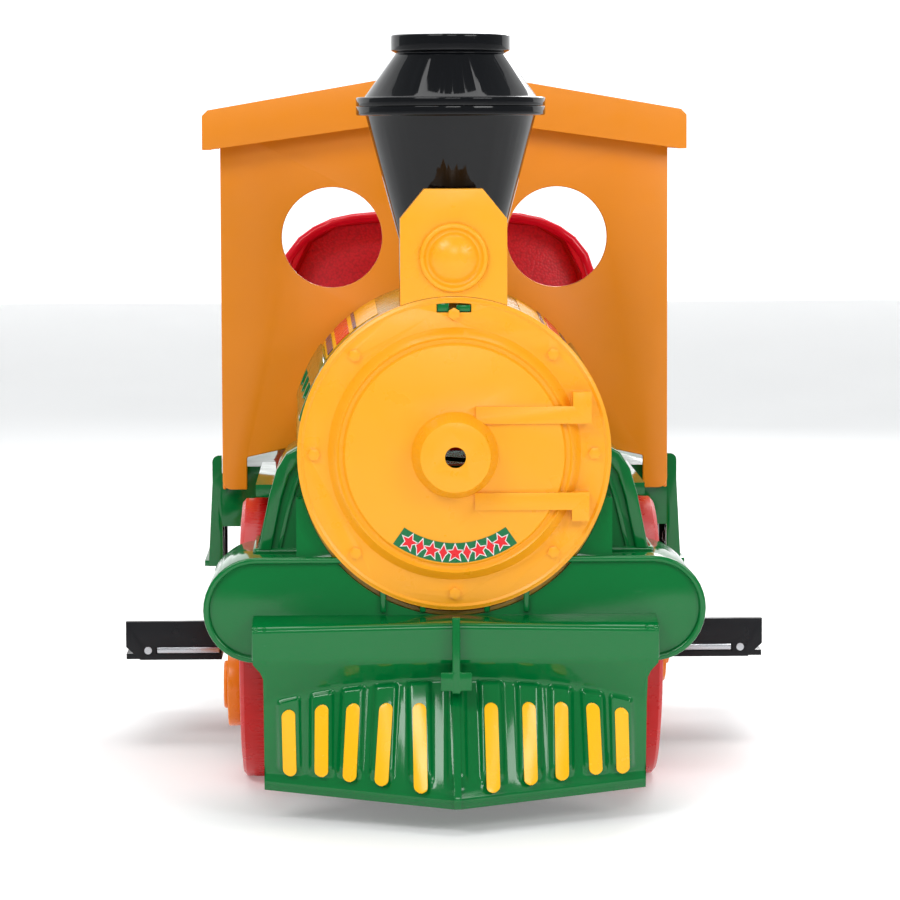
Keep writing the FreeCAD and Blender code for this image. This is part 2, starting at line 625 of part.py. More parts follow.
def make_dash():
    """Console, handlebar and push buttons facing the child."""
    block = slab("console_out", ("-90", "cab_wall + 0.3", "330"), ("90", "56", "408"))
    nook = slab("console_in", ("-87", "cab_wall - 1", "333"), ("87", "53", "405"))
    holes = [rod("button_hole%d" % n, "11.5", "12", (str(x), "48", "378"), "Y") for n,
             x in enumerate((-45, 45))]
    bar_holes = [rod("bar_hole%d" % n, "7.2", "12", (str(x), "48", "350"), "Y") for n,
                 x in enumerate((-62, 62))]
    grille = [slab("slot%d" % n, ("-18", "48", str(360 + 8 * n)), ("18", "60", str(363 + 8 * n)))
              for n in range(5)]
    node("console", cut("console_cut", block, nook, *holes, *bar_holes, *grille))
    for name, x in (("horn", -45), ("bell", 45)):
        head = rod(name + "_head", "11", "14", (str(x), "50.5", "378"), "Y")
        collar = rod(name + "_collar", "14", "3.5", (str(x), "47.5", "378"), "Y")
        node(name + "_button", fuse(name + "_button_fuse", head, collar))
    posts = [rod("bar_post%d" % n, "7", "56", (str(x), "44", "350"), "Y") for n, x in enumerate((-62, 62))]
    bar = rod("bar_cross", "8", "236", ("-118", "100", "350"), "X")
    stop = slab("bar_boss", ("-14", "90", "339"), ("14", "110", "361"))
    pocket = rod("bar_pocket", "7.5", "20", ("0", "100", "346"))
    node("handlebar", cut("handlebar_cut", fuse("handlebar_fuse", bar, stop, *posts), pocket))
    node("go_button", rod("go_button_pin", "7", "14", ("0", "100", "352.2")))
    grips = []
    for name, x in (("left", "-128"), ("right", "78")):
        grip = rod("grip_out_" + name, "13", "50", (x, "100", "350"), "X")
        bore = rod("grip_in_" + name, "8.05", "60", ("-121" if name == "left" else "60", "100", "350"), "X")
        grips.append(cut("grip_cut_" + name, grip, bore))
    node("handlebar_grips", gather("grips_pair", *grips))
    rows = [slab("sound_case", ("-34", "cab_wall + 1", "338"), ("34", "26", "404")),
            rod("sound_cone", "28", "18", ("0", "26", "372"), "Y")]
    node("sound_box", fuse("sound_box_fuse", *rows))


def make_rear_body():
    """Skirted seat box over the rear wheels, open below, with a bay in its deck."""
    side = symmetric([("rear_half_top - 16", "rear_deck"), ("rear_half_top", "rear_deck - 14"),
                      ("rear_half_low", "skirt_low")])
    outer = padded("rear_out", "XZ_Plane", [side], "rear_y - rear_front - 12", backwards=True)
    put(outer, ("0", "rear_front", "0"))
    inside = symmetric([("rear_half_top - 17.5", "rear_deck - wall"),
                        ("rear_half_top - wall", "rear_deck - 16"),
                        ("rear_half_low - wall", "skirt_low - 5")])
    hollow = padded("rear_in", "XZ_Plane", [inside], "rear_y - rear_front - 12 - 2 * wall", backwards=True)
    put(hollow, ("0", "rear_front + wall", "0"))
    bay = slab("bay", ("-bay_half", "bay_front", "200"), ("bay_half", "bay_rear", "300"))
    mouths = [slab("rod_mouth%d" % n, (low, "rear_front - 5", "100"), (high, "rear_front + 20", "204"))
              for n, (low, high) in enumerate((("-200", "-129"), ("129", "200")))]
    nose = slab("frame_mouth", ("-129.5", "rear_front - 5", "50"), ("129.5", "rear_front + 20", "252"))
    lead = slab("lead_mouth", ("32", "36", "250"), ("52", "74", "262"))
    shell = cut("rear_shell", outer, hollow, bay, nose, lead, *mouths)
    bead = [slab("bead%d" % n, (low, "rear_front + 2", "skirt_low"), (high, "rear_y - 14", "skirt_low + 5"))
            for n, (low, high) in enumerate((("-216.5", "-212"), ("212", "216.5")))]
    ears = [slab("ear%d" % n, (low, "hinge_y - 7", "rear_deck - 1"), (high, "hinge_y + 5", "hinge_z + 7"))
            for n, (low, high) in enumerate((("-116", "-108"), ("108", "116")))]
    brows = []
    for name, low, high in (("left", "-rear_half_top", "-200.5"), ("right", "200.5", "rear_half_top")):
        brow = slab("brow_" + name, (low, "rear_front", "rear_deck - 16"),
                    (high, "rear_front + 4", "rear_deck + 10"))
        brows.append(rounded("brow_soft_" + name, brow, 6.0,
                             lambda e, m: upright(e, 1) and m.z > 260 and abs(m.x) > 205))
    pin_hole = rod("ear_hole", "hinge_pin + 0.02", "260", ("-130", "hinge_y", "hinge_z"), "X")
    charge = rod("charge_hole", "5.2", "25", ("195", "100", "184.5"), "X")
    body = fuse("rear_body_fuse", shell, *bead, *ears, *brows)
    node("rear_body", cut("rear_body_cut", body, pin_hole, charge))
    stem = rod("knob_stem", "5", "10", ("203", "100", "184.5"), "X")
    head = rod("knob_head", "7", "4.2", ("212.8", "100", "184.5"), "X")
    node("charge_plug", fuse("charge_plug_fuse", stem, head))


def make_rear_tray():
    """Open box between the rear wheels: battery, gears and the tow tongue."""
    outer = slab("tray_out", ("-tray_half", "rear_front + 3.3", "floor_z"), ("tray_half", "386", "250"))
    inner = slab("tray_in", ("-tray_half + wall", "rear_front + 6.3", "floor_z + wall"),
                 ("tray_half - wall", "383", "260"))
    sleeve = rod("tray_drive_hole", "14", "20", ("120", "rear_axle_y", "wheel_radius"), "X")
    axle = rod("tray_axle_hole", "axle_radius + 0.02", "300", ("-150", "rear_axle_y", "wheel_radius"), "X")
    tongue = slab("tongue", ("-24", "384", "96"), ("24", "rear_y", "102"))
    tow = rod("tow_hole", "tow_radius", "20", ("0", "tow_y", "90"))
    tray = cut("tray_cut", outer, inner)
    rounded_tongue = rounded("tongue_soft", tongue, 6.0, lambda e, m: upright(e, 2) and m.y > 400)
    node("rear_tray", cut("rear_tray_cut", fuse("tray_fuse", tray, rounded_tongue), sleeve, axle, tow))


def make_seat():
    """Bucket seat with a curved back, hinged along its rear lower edge, and its pin."""
    half = "seat_half"
    outline = symmetric([("60", "seat_top"), ("104", "seat_top - 6"), ("136", "seat_top - 24"),
                         ("154", "seat_top - 56"), (half, "seat_top - 100"), (half, "seat_low")])
    back = padded("seat_back", "XZ_Plane", [outline], "46", backwards=True)
    put(back, ("0", "332", "0"))
    base = slab("seat_base", ("-130", "seat_front", "seat_low"), ("130", "340", "seat_low + 26"))
    base = rounded("seat_base_soft", base, 22.0, lambda e, m: upright(e, 2) and m.y < 200)
    wings = [slab("wing%d" % n, (low, "262", "seat_low"), (high, "340", "seat_low + 58"))
             for n,
             (low, high) in enumerate((("-seat_half", "-seat_half + 26"), ("seat_half - 26", "seat_half")))]
    deck = slab("seat_fill", ("-seat_half + 5", "250", "seat_low"),
                ("seat_half - 5", "340", "seat_low + 24"))
    hollow_line = symmetric([("66", "seat_top - 8"), ("100", "seat_top - 12"), ("126", "seat_top - 28"),
                             ("142", "seat_top - 60"), ("144", "seat_top - 100"), ("144", "seat_low + 30")])
    scoop = padded("seat_scoop", "XZ_Plane", [hollow_line], "28", backwards=True)
    put(scoop, ("0", "330", "0"))
    under = slab("seat_under", ("-124", "seat_front + 6", "seat_low - 1"), ("124", "352", "seat_low + 20"))
    rear_cut = symmetric([("60", "seat_top - 4"), ("124", "seat_top - 26"), ("146", "seat_top - 60"),
                          ("150", "seat_top - 100"), ("150", "seat_low - 5")])
    rear_hollow = padded("seat_rear_hollow", "XZ_Plane", [rear_cut], "20", backwards=True)
    put(rear_hollow, ("0", "362", "0"))
    barrel = rod("seat_barrel", "hinge_barrel", "206", ("-103", "hinge_y", "hinge_z"), "X")
    web = slab("seat_web", ("-103", "360", "seat_low + 4"), ("103", "hinge_y", "seat_low + 9"))
    bore = rod("seat_bore", "hinge_pin + 0.06", "300", ("-150", "hinge_y", "hinge_z"), "X")
    shell = cut("seat_shell", fuse("seat_mass", back, base, deck, *wings), scoop, under, rear_hollow)
    node("seat", cut("seat_cut", fuse("seat_fuse", shell, barrel, web), bore))
    node("seat_hinge_pin", rod("seat_pin_rod", "hinge_pin", "236", ("-118", "hinge_y", "hinge_z"), "X"))


def make_footrests():
    """Ribbed steps with a deep front lip, hung from the skirts, each with a steel edge bar and a screw."""
    bars, screws = [], []
    for name, sign in (("left", -1), ("right", 1)):
        near, far = ("foot_inner", "half_width") if sign > 0 else ("-half_width", "-foot_inner")
        inner, outer = ("%d * foot_inner" % sign, "%d * half_width" % sign)
        line = [(inner, "foot_low"), ("%d * (half_width - 13)" % sign, "foot_low"),
                (outer, "foot_low + 12"), (outer, "foot_top"), (inner, "foot_top")]
        lip = padded("step_lip_" + name, "XZ_Plane", [line], "8", backwards=True)
        put(lip, ("0", "foot_front", "0"))
        plate = slab("step_plate_" + name, (near, "foot_front + 6", "foot_low"),
                     (far, "foot_rear", "foot_low + 5"))
        plate = rounded("step_plate_soft_" + name, plate, 14.0,
                        lambda e, m: upright(e, 2) and abs(m.x) > 280 and m.y > 200)
        hanger_x = ("foot_inner", "208") if sign > 0 else ("-208", "-foot_inner")
        hangers = [slab("hanger_%s%d" % (name, n), (hanger_x[0], str(y), "foot_low + 2"),
                        (hanger_x[1], str(y + 12), "196")) for n, y in enumerate((60, 140, 220))]
        ribs = [slab("tread_%s%d" % (name, n), (("215" if sign > 0 else "-280"), str(66 + 16 * n),
                                                "foot_low + 4"),
                     (("280" if sign > 0 else "-215"), str(71 + 16 * n), "foot_low + 6.8"))
                     for n in range(12)]
        bar_x = ("205", "262") if sign > 0 else ("-262", "-205")
        groove_x = ("foot_inner - 1", "262.4") if sign > 0 else ("-262.4", "-foot_inner + 1")
        groove = slab("bar_groove_" + name, (groove_x[0], "foot_front - 1", "84.4"),
                      (groove_x[1], "foot_front + 3.2", "90.8"))
        hole = rod("step_screw_hole_" + name, "3.5", "20", ("%d * 270" % sign, "foot_front - 5", "87.6"), "Y")
        node("footrest_" + name, cut("footrest_cut_" + name, fuse("footrest_fuse_" + name, lip, plate,
                                                                  *hangers, *ribs), groove, hole))
        bars.append(slab("edge_bar_" + name, (bar_x[0], "foot_front + 0.5", "84.8"),
                         (bar_x[1], "foot_front + 3", "90.4")))
        screws.append(rod("step_screw_" + name, "3.4", "7",
                          ("%d * 270" % sign, "foot_front - 0.5", "87.6"), "Y"))
    node("footrest_bars", gather("footrest_bars_pair", *bars))
    node("footrest_screws", gather("footrest_screws_pair", *screws))


def make_wheel(place, side, axle_y, crank_y, crank_z, driven):
    """Spoked wheel with a moulded crank boss and pin; hollow towards the frame."""
    name = place + ("_right" if side > 0 else "_left")
    bore = "axle_radius + running_gap"
    line = [("hub_inner", bore), ("hub_inner", "hub_radius"), ("162", "hub_radius"), ("171.5", "104"),
            ("173", "116.5"), ("wheel_inner", "116.5"), ("wheel_inner", "wheel_radius - 1.5"),
            ("wheel_inner + 1.5", "wheel_radius"), ("wheel_outer - 3", "wheel_radius"),
            ("wheel_outer", "wheel_radius - 3.5"), ("wheel_outer", "106"), ("175.2", "102.5"),
            ("hub_outer - 3", "24"), ("hub_outer", "20"), ("hub_outer", bore)]
    if side < 0:
        line = [("-(%s)" % x, y) for x, y in line]
    body = turned("wheel_body_" + name, "XY_Plane", line, "H_Axis")
    spoke_sketch = drawing(body, "YZ_Plane", [[("-spoke_width / 2", "13"), ("spoke_width / 2", "13"),
                                               ("spoke_width / 2 - 1", "111"),
                                               ("-spoke_width / 2 + 1", "111")]],
                           "165" if side > 0 else "-165")
    spoke = body.newObject("PartDesign::Pad", "spoke_" + name)
    spoke.Profile = spoke_sketch
    spoke.Length = 11.3
    spoke.Reversed = side < 0
    repeated(body, spoke, "X_Axis", 10)
    put(body, ("0", axle_y, "wheel_radius"))

    def along(label, radius, near, far):
        """A round boss on the crank centre, on this side of the vehicle."""
        start = near if side > 0 else "-(%s)" % far
        return rod(label, radius, "(%s) - (%s)" % (far, near), (start, crank_y, crank_z), "X")

    boss = along("boss_" + name, "15", "164", "rod_inner - 0.5")
    pin = along("pin_" + name, "crank_pin", "170", "rod_inner + rod_thick + 0.3")
    whole = fuse("wheel_fuse_" + name, body, boss, pin)
    if driven:
        socket = prism("drive_socket", "13.15", "9", ("hub_inner - 0.5", axle_y, "wheel_radius"), "X")
        whole = cut("wheel_drive_" + name, whole, socket)
    node("wheel_" + name, whole)
    cap = along("cap_plate_" + name, "cap_radius", "rod_inner + rod_thick + 0.35",
                "rod_inner + rod_thick + 0.35 + cap_thick")
    node("crank_cap_" + name, rounded("crank_cap_soft_" + name, cap, 1.6,
                                      lambda e, m: e.Curve.TypeId == "Part::GeomCircle"
                                      and abs(e.CenterOfMass.x) > 194))


def make_running_gear():
    """Axles, washers, wheels, rods and the nuts that hold the wheels on."""
    nuts, washers = [], []
    for place in ("front", "rear"):
        axle_y = place + "_axle_y"
        node("axle_" + place, rod("axle_rod_" + place, "axle_radius", "2 * axle_half",
                                  ("-axle_half", axle_y, "wheel_radius"), "X"))
        for side in (-1, 1):
            tag = place + ("_right" if side > 0 else "_left")
            cap = rod("nut_cap_" + tag, "10.5", "6",
                      ("168.9" if side > 0 else "-174.9", axle_y, "wheel_radius"), "X")
            seat = rod("nut_seat_" + tag, "axle_radius + 0.02", "3.2",
                       ("168.9" if side > 0 else "-172.1", axle_y, "wheel_radius"), "X")
            nuts.append(cut("nut_" + tag, cap, seat))
            if tag != "rear_right":
                ring = rod("washer_out_" + tag, "12", "4.4",
                           ("128.6" if side > 0 else "-133", axle_y, "wheel_radius"), "X")
                hole = rod("washer_in_" + tag, "axle_radius + 0.3", "6",
                           ("128" if side > 0 else "-134", axle_y, "wheel_radius"), "X")
                washers.append(cut("washer_" + tag, ring, hole))
    node("axle_nuts", gather("axle_nuts_set", *nuts))
    node("axle_washers", gather("axle_washers_set", *washers))

    for side, name, lean in ((-1, "left", "crank_angle_left"), (1, "right", "crank_angle_right")):
        shift = "%s %s crank_radius * sin(%s)"
        sense = "+" if side > 0 else "-"
        crank_z = "wheel_radius - crank_radius * cos(%s)" % lean
        for place in ("front", "rear"):
            crank_y = shift % (place + "_axle_y", sense, lean)
            make_wheel(place, side, place + "_axle_y", crank_y, crank_z, place == "rear" and side > 0)
        front_y = shift % ("front_axle_y", sense, lean)
        rear_y = shift % ("rear_axle_y", sense, lean)
        start = "rod_inner" if side > 0 else "-rod_inner - rod_thick"
        eyes = [rod("eye_%s%d" % (name, n), "rod_eye", "rod_thick", (start, y, crank_z), "X")
                for n, y in enumerate((front_y, rear_y))]
        bar = box("bar_" + name, ("rod_thick", "rear_axle_y - front_axle_y", "2 * rod_half_height"),
                  (start, front_y, crank_z + " - rod_half_height"))
        holes = [rod("eye_hole_front_" + name, "crank_pin + 0.4", "50",
                     ("-215" if side < 0 else "165", front_y, crank_z), "X"),
                 rod("eye_hole_rear_" + name, "crank_pin + running_gap", "50",
                     ("-215" if side < 0 else "165", rear_y, crank_z), "X")]
        channel_x = "rod_inner + rod_thick - 3" if side > 0 else "-rod_inner - rod_thick - 1"
        channel = box("channel_" + name,
                      ("4", "rear_axle_y - front_axle_y - 96", "2 * rod_half_height - 14"),
                      (channel_x, front_y + " + 48", crank_z + " - rod_half_height + 7"))
        node("side_rod_" + name, cut("side_rod_cut_" + name, fuse("side_rod_fuse_" + name, bar, *eyes),
                                     channel, *holes))


def make_drive():
    """Motor, two-stage gear train on the rear axle, casing, battery, leads and switch gear."""
    axle_y = size("rear_axle_y")
    axle_z = size("wheel_radius")
    bore = size("axle_radius") + size("running_gap")
    final = size("final_module")
    first = size("first_module")
    big, small = int(size("big_gear_teeth")), int(size("small_gear_teeth"))
    second, lead = int(size("second_gear_teeth")), int(size("pinion_teeth"))
    middle_y = axle_y - final * (big + small) / 2
    motor_y = middle_y - first * (second + lead) / 2

    output = gear_solid(big, final, 100, 11)
    output = output.fuse(x_cylinder(13.4, 96, 32.0))
    hexagon = Part.Face(Part.makePolygon([FreeCAD.Vector(0, 13 * math.sin(math.radians(a)),
                                                         13 * math.cos(math.radians(a)))
                                          for a in range(0, 361, 60)])).extrude(FreeCAD.Vector(14, 0, 0))
    hexagon.translate(FreeCAD.Vector(128, 0, 0))
    output = output.fuse(hexagon).cut(x_cylinder(bore, 90, 60))
    node("output_gear", feature("output_gear_shape", output, axle_y, axle_z))

    pair = gear_solid(small, final, 98, 15, math.pi / small).fuse(gear_solid(second, first, 85, 10))
    pair = pair.fuse(x_cylinder(9, 83, 15)).cut(x_cylinder(3.06, 80, 40))
    node("compound_gear", feature("compound_gear_shape", pair, middle_y, axle_z))
    shaft = x_cylinder(3, 76, 44)
    node("gear_shaft", feature("gear_shaft_shape", shaft, middle_y, axle_z))
    pinion = gear_solid(lead, first, 83, 12, math.pi / lead).fuse(x_cylinder(1.6, 66, 17))
    node("motor_pinion", feature("motor_pinion_shape", pinion, motor_y, axle_z))
    can = x_cylinder(18.5, 14, 52).fuse(x_cylinder(6, 9, 5)).cut(x_cylinder(1.7, 60, 8))
    node("motor", feature("motor_shape", can, motor_y, axle_z))

    front_y = motor_y - 24
    rear_y = axle_y + 50
    tray = Part.makeBox(39, rear_y - front_y, 100, FreeCAD.Vector(81, front_y, axle_z - 50))
    inside = Part.makeBox(36.5, rear_y - front_y - 5, 95,
                          FreeCAD.Vector(80.5, front_y + 2.5, axle_z - 47.5))
    tray = tray.cut(inside)
    lid = Part.makeBox(2.5, rear_y - front_y, 100, FreeCAD.Vector(78.3, front_y, axle_z - 50))
    for centre, radius in ((axle_y, 13.9), (middle_y, 3.02)):
        hole = Part.makeCylinder(radius, 60, FreeCAD.Vector(70, centre, axle_z), FreeCAD.Vector(1, 0, 0))
        tray = tray.cut(hole)
        lid = lid.cut(hole)
    nose = Part.makeCylinder(2.2, 30, FreeCAD.Vector(60, motor_y, axle_z), FreeCAD.Vector(1, 0, 0))
    lid = lid.cut(nose)
    for name, shape in (("gearbox_case", tray), ("gearbox_cover", lid)):
        made = doc.addObject("Part::Feature", name + "_shape")
        made.Shape = shape
        made.Placement = FreeCAD.Placement()
        node(name, made)
    case = slab("battery_case", ("-76", "296", "66"), ("76", "348", "160"))
    soft = rounded("battery_soft", case, 3.0, lambda e, m: upright(e, 2))
    posts = [slab("terminal%d" % n, (str(x), "312", "159"), (str(x + 7), "319", "168")) for n,
             x in enumerate((-60, 50))]
    node("battery", fuse("battery_fuse", soft, *posts))
    strap = cut("strap_cut", slab("strap_out", ("-12", "292", "65.3"), ("12", "352", "163")),
                slab("strap_in", ("-13", "295.5", "60"), ("13", "348.5", "160.5")))
    node("battery_strap", strap)


def lead_tube(points, radius):
    """A wire along straight runs joined by tangent arcs."""
    corners = [FreeCAD.Vector(*point) for point in points]
    edges, start = [], corners[0]
    for before, here, after in zip(corners, corners[1:], corners[2:]):
        back = (before - here)
        ahead = (after - here)
        reach = 0.45 * min(back.Length, ahead.Length)
        back = back.normalize() * reach
        ahead = ahead.normalize() * reach
        enter, leave = here + back, here + ahead
        turn = math.pi - (enter - here).getAngle(leave - here)
        bend = reach / math.tan(turn / 2)
        bisector = (back + ahead).normalize()
        middle = here + bisector * (bend / math.cos(turn / 2) - bend)
        edges.append(Part.LineSegment(start, enter).toShape())
        edges.append(Part.Arc(enter, middle, leave).toShape())
        start = leave
        print("wire bend radius %.1f mm" % bend)
    edges.append(Part.LineSegment(start, corners[-1]).toShape())
    path = Part.Wire(edges)
    direction = corners[1] - corners[0]
    ring = Part.Wire([Part.Circle(corners[0], direction, radius).toShape()])
    tube = path.makePipeShell([ring], True, True)
    expected = math.pi * radius ** 2 * path.Length
    if abs(tube.Volume / expected - 1) > 0.02:
        raise RuntimeError("wire volume is off")
    return tube


def make_leads():
    """Clipped internal wires: battery to motor, and battery forward to the console."""
    routes = {
        "motor_lead": [(-56.5, 315, 168.4), (-57, 314, 184), (-64, 296, 196), (-70, 246, 191),
                       (-66, 192, 193),
                       (-69, 142, 180), (-60, 108, 158), (-38, 93, 136), (-12, 91, 122),
                       (8.6, 91.1, 120.5)],
        "console_lead": [(53.5, 315, 168.4), (53, 314, 188), (48, 292, 204), (44, 244, 206), (47, 192, 204),
                         (44, 142, 210), (45, 98, 228), (41, 64, 254), (38, 42, 290), (30, 36, 329.4)],
    }
    made = doc.addObject("Part::Feature", "wiring_shape")
    made.Shape = Part.makeCompound([lead_tube(points, 2.2) for points in routes.values()])
    made.Placement = FreeCAD.Placement()
    node("wiring", made)


def make_floor():
    """Floor pan under the front body, with its screws."""
    pan = slab("pan_plate", ("-body_half + wall + 0.4", "-326", "62.3"),
               ("body_half - wall - 0.4", "body_rear - 3.5", "65.3"))
    ribs = [slab("pan_rib%d" % n, ("-110", str(-290 + 60 * n), "65"),
                 ("110", str(-287 + 60 * n), "74")) for n in range(5)]
    holes = [rod("pan_hole%d%d" % (a, b), "2.2", "10", (str(x), str(y), "60"))
             for a, x in enumerate((-112, 112)) for b, y in enumerate((-310, -8))]
    node("floor_pan", cut("floor_pan_cut", fuse("floor_pan_fuse", pan, *ribs), *holes))
    screws = []
    for a, x in enumerate((-112, 112)):
        for b, y in enumerate((-310, -8)):
            head = rod("screw_head%d%d" % (a, b), "4.2", "2.2", (str(x), str(y), "59.9"))
            stem = rod("screw_stem%d%d" % (a, b), "2", "14", (str(x), str(y), "60.5"))
            screws.append(fuse("floor_screw%d%d" % (a, b), head, stem))
    node("floor_screws", gather("floor_screws_set", *screws))


def main():
    make_front_body()
    make_cowcatcher()
    make_plough_bars()
    make_centre_rib()
    make_boiler()
    make_door()
    make_lamp()
    make_stack()
    make_boiler_trim()
    make_cab()
    make_dash()
    make_rear_body()
    make_rear_tray()
    make_seat()
    make_footrests()
    make_running_gear()
    make_drive()
    make_leads()
    make_floor()
    doc.recompute()
    for thing in doc.Objects:
        bad = {"Invalid", "Error"} & set(thing.State)
        if bad:
            raise RuntimeError("%s (%s): %s" % (thing.Name, thing.Label, sorted(bad)))
    os.makedirs("parts", exist_ok=True)
    for name, thing in NODES.items():
        shape = thing.Shape
        if shape.isNull() or not shape.isValid():
            raise RuntimeError(name + ": bad shape")
        shape.exportStep("parts/%s.step" % name)
        box_now = shape.BoundBox
        print("%-22s solids %d volume %9.0f  x %.1f %.1f  y %.1f %.1f  z %.1f %.1f" % (
            name, len(shape.Solids), shape.Volume, box_now.XMin, box_now.XMax, box_now.YMin, box_now.YMax,
            box_now.ZMin, box_now.ZMax))
    print(len(NODES), "nodes")


main()
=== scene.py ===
import json
import math

import bpy
from bpy.props import FloatProperty, FloatVectorProperty, IntProperty, PointerProperty
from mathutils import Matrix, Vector

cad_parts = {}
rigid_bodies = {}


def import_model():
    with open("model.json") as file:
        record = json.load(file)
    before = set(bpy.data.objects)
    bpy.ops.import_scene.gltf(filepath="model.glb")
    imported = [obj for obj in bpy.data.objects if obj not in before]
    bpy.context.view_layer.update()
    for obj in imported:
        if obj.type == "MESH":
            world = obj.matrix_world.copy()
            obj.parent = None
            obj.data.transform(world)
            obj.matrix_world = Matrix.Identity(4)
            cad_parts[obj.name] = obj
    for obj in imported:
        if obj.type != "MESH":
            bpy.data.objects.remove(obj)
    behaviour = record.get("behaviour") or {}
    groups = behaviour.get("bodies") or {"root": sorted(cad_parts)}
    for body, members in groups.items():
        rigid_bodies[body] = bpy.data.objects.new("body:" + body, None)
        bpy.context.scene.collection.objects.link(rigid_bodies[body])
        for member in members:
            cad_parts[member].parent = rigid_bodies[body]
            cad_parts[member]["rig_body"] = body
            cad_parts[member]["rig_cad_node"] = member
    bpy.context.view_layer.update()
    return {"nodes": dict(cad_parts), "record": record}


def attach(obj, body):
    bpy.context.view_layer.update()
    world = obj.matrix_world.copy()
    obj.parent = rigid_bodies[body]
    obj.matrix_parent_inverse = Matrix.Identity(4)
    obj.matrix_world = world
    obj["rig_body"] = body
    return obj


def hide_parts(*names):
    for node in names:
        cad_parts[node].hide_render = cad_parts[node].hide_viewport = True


bl_info = {
    "name": "Ride-on locomotive looks",
    "version": (1, 0, 0),
    "blender": (4, 5, 0),
    "location": "View3D > Sidebar > Locomotive",
    "description": "Builds the moulded shells, wheels, seat, prints and finishes of a ride-on toy locomotive",
    "category": "Object",
}

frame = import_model()
MM = 0.001

# places taken from the frame's own axes, in metres
WHEEL_Z = 0.1205
WHEEL_RADIUS = 0.1203
BOILER_Z, BOILER_NOSE, BOILER_FRONT, BOILER_TAPER = 0.292, 0.125, -0.3295, 0.0243
DOOR_Z = 0.299
CYLINDER_BACK = -0.3355


# ---------------------------------------------------------------- settings

class LocomotiveColours(bpy.types.PropertyGroup):
    """The colours of the mouldings and prints, in linear light."""

    green: FloatVectorProperty(name="Green", description="Frame, saddle, plough and seat box",
                               subtype="COLOR", default=(0.0, 0.150, 0.030))
    door: FloatVectorProperty(name="Door yellow", description="Smokebox door and headlamp",
                              subtype="COLOR", default=(0.90, 0.37, 0.010))
    cab: FloatVectorProperty(name="Cab orange", description="Cab walls and roof",
                             subtype="COLOR", default=(0.80, 0.245, 0.002))
    # painted shade: the boiler yellow is set darker than the plastic's own yellow, part way to the olive it
    # shows in shade
    boiler: FloatVectorProperty(name="Boiler yellow", description="Boiler barrel",
                                subtype="COLOR", default=(0.50, 0.29, 0.020))
    stripe: FloatVectorProperty(name="Stripe yellow", description="Stripes on the plough",
                                subtype="COLOR", default=(0.96, 0.48, 0.002))
    rod: FloatVectorProperty(name="Rod orange", description="Side rods and crank caps",
                             subtype="COLOR", default=(0.84, 0.215, 0.003))
    wheel: FloatVectorProperty(name="Wheel red", description="Wheels",
                               subtype="COLOR", default=(0.62, 0.003, 0.003))
    seat: FloatVectorProperty(name="Seat red", description="Seat and buttons",
                              subtype="COLOR", default=(0.76, 0.004, 0.022))
    black: FloatVectorProperty(name="Black", description="Stack and steps",
                               subtype="COLOR", default=(0.0022, 0.0025, 0.0035))


class LocomotiveSizes(bpy.types.PropertyGroup):
    """The sizes of the details that the looks add to the frame."""

    rib_rise: FloatProperty(name="Rib rise", description="How far the plough's ribs stand out",
                            unit="LENGTH", default=0.0042)
    border: FloatProperty(name="Saddle border", description="Width of the saddle's raised border",
                          unit="LENGTH", default=0.010)
    tread_ribs: IntProperty(name="Tread ribs", description="Fine ribs round each wheel's tread", default=160)
    rim_bead: FloatProperty(name="Seat bead", description="Radius of the bead round the seat",
                            unit="LENGTH", default=0.0048)


def colours():
    return bpy.context.scene.locomotive_colours


def sizes():
    return bpy.context.scene.locomotive_sizes


# ---------------------------------------------------------------- modelling helpers

def only(*objects):
    """Leaves object mode with just these selected, the first one active."""
    if bpy.context.object and bpy.context.object.mode != "OBJECT":
        bpy.ops.object.mode_set(mode="OBJECT")
    bpy.ops.object.select_all(action="DESELECT")
    for thing in objects:
        thing.select_set(True)
    bpy.context.view_layer.objects.active = objects[0]


def apply_all(thing):
    """Applies every modifier in order."""
    only(thing)
    for modifier in list(thing.modifiers):
        bpy.ops.object.modifier_apply(modifier=modifier.name)


def tidy_mesh(thing, outward=True):
    """Merges doubles and turns the faces outwards."""
    only(thing)
    bpy.ops.object.mode_set(mode="EDIT")
    bpy.ops.mesh.select_all(action="SELECT")
    bpy.ops.mesh.remove_doubles(threshold=0.00001)
    if outward:
        bpy.ops.mesh.normals_make_consistent(inside=False)
    bpy.ops.object.mode_set(mode="OBJECT")


def smooth(thing, degrees=35):
    """Shades smooth, with edges sharper than the angle kept crisp."""
    only(thing)
    bpy.ops.object.shade_smooth_by_angle(angle=math.radians(degrees))


def soften(thing, radius, segments=3, degrees=32):
    """Rounds the sharp edges for good."""
    modifier = thing.modifiers.new("soft edges", "BEVEL")
    modifier.width = radius
    modifier.segments = segments
    modifier.limit_method = "ANGLE"
    modifier.angle_limit = math.radians(degrees)
    modifier.use_clamp_overlap = True
    modifier.miter_outer = "MITER_ARC"
    apply_all(thing)


def carve(thing, *tools):
    """Cuts tools out of a mesh and removes them."""
    for tool in tools:
        modifier = thing.modifiers.new("cut", "BOOLEAN")
        modifier.operation = "DIFFERENCE"
        modifier.solver = "EXACT"
        modifier.object = tool
        apply_all(thing)
        bpy.data.objects.remove(tool)


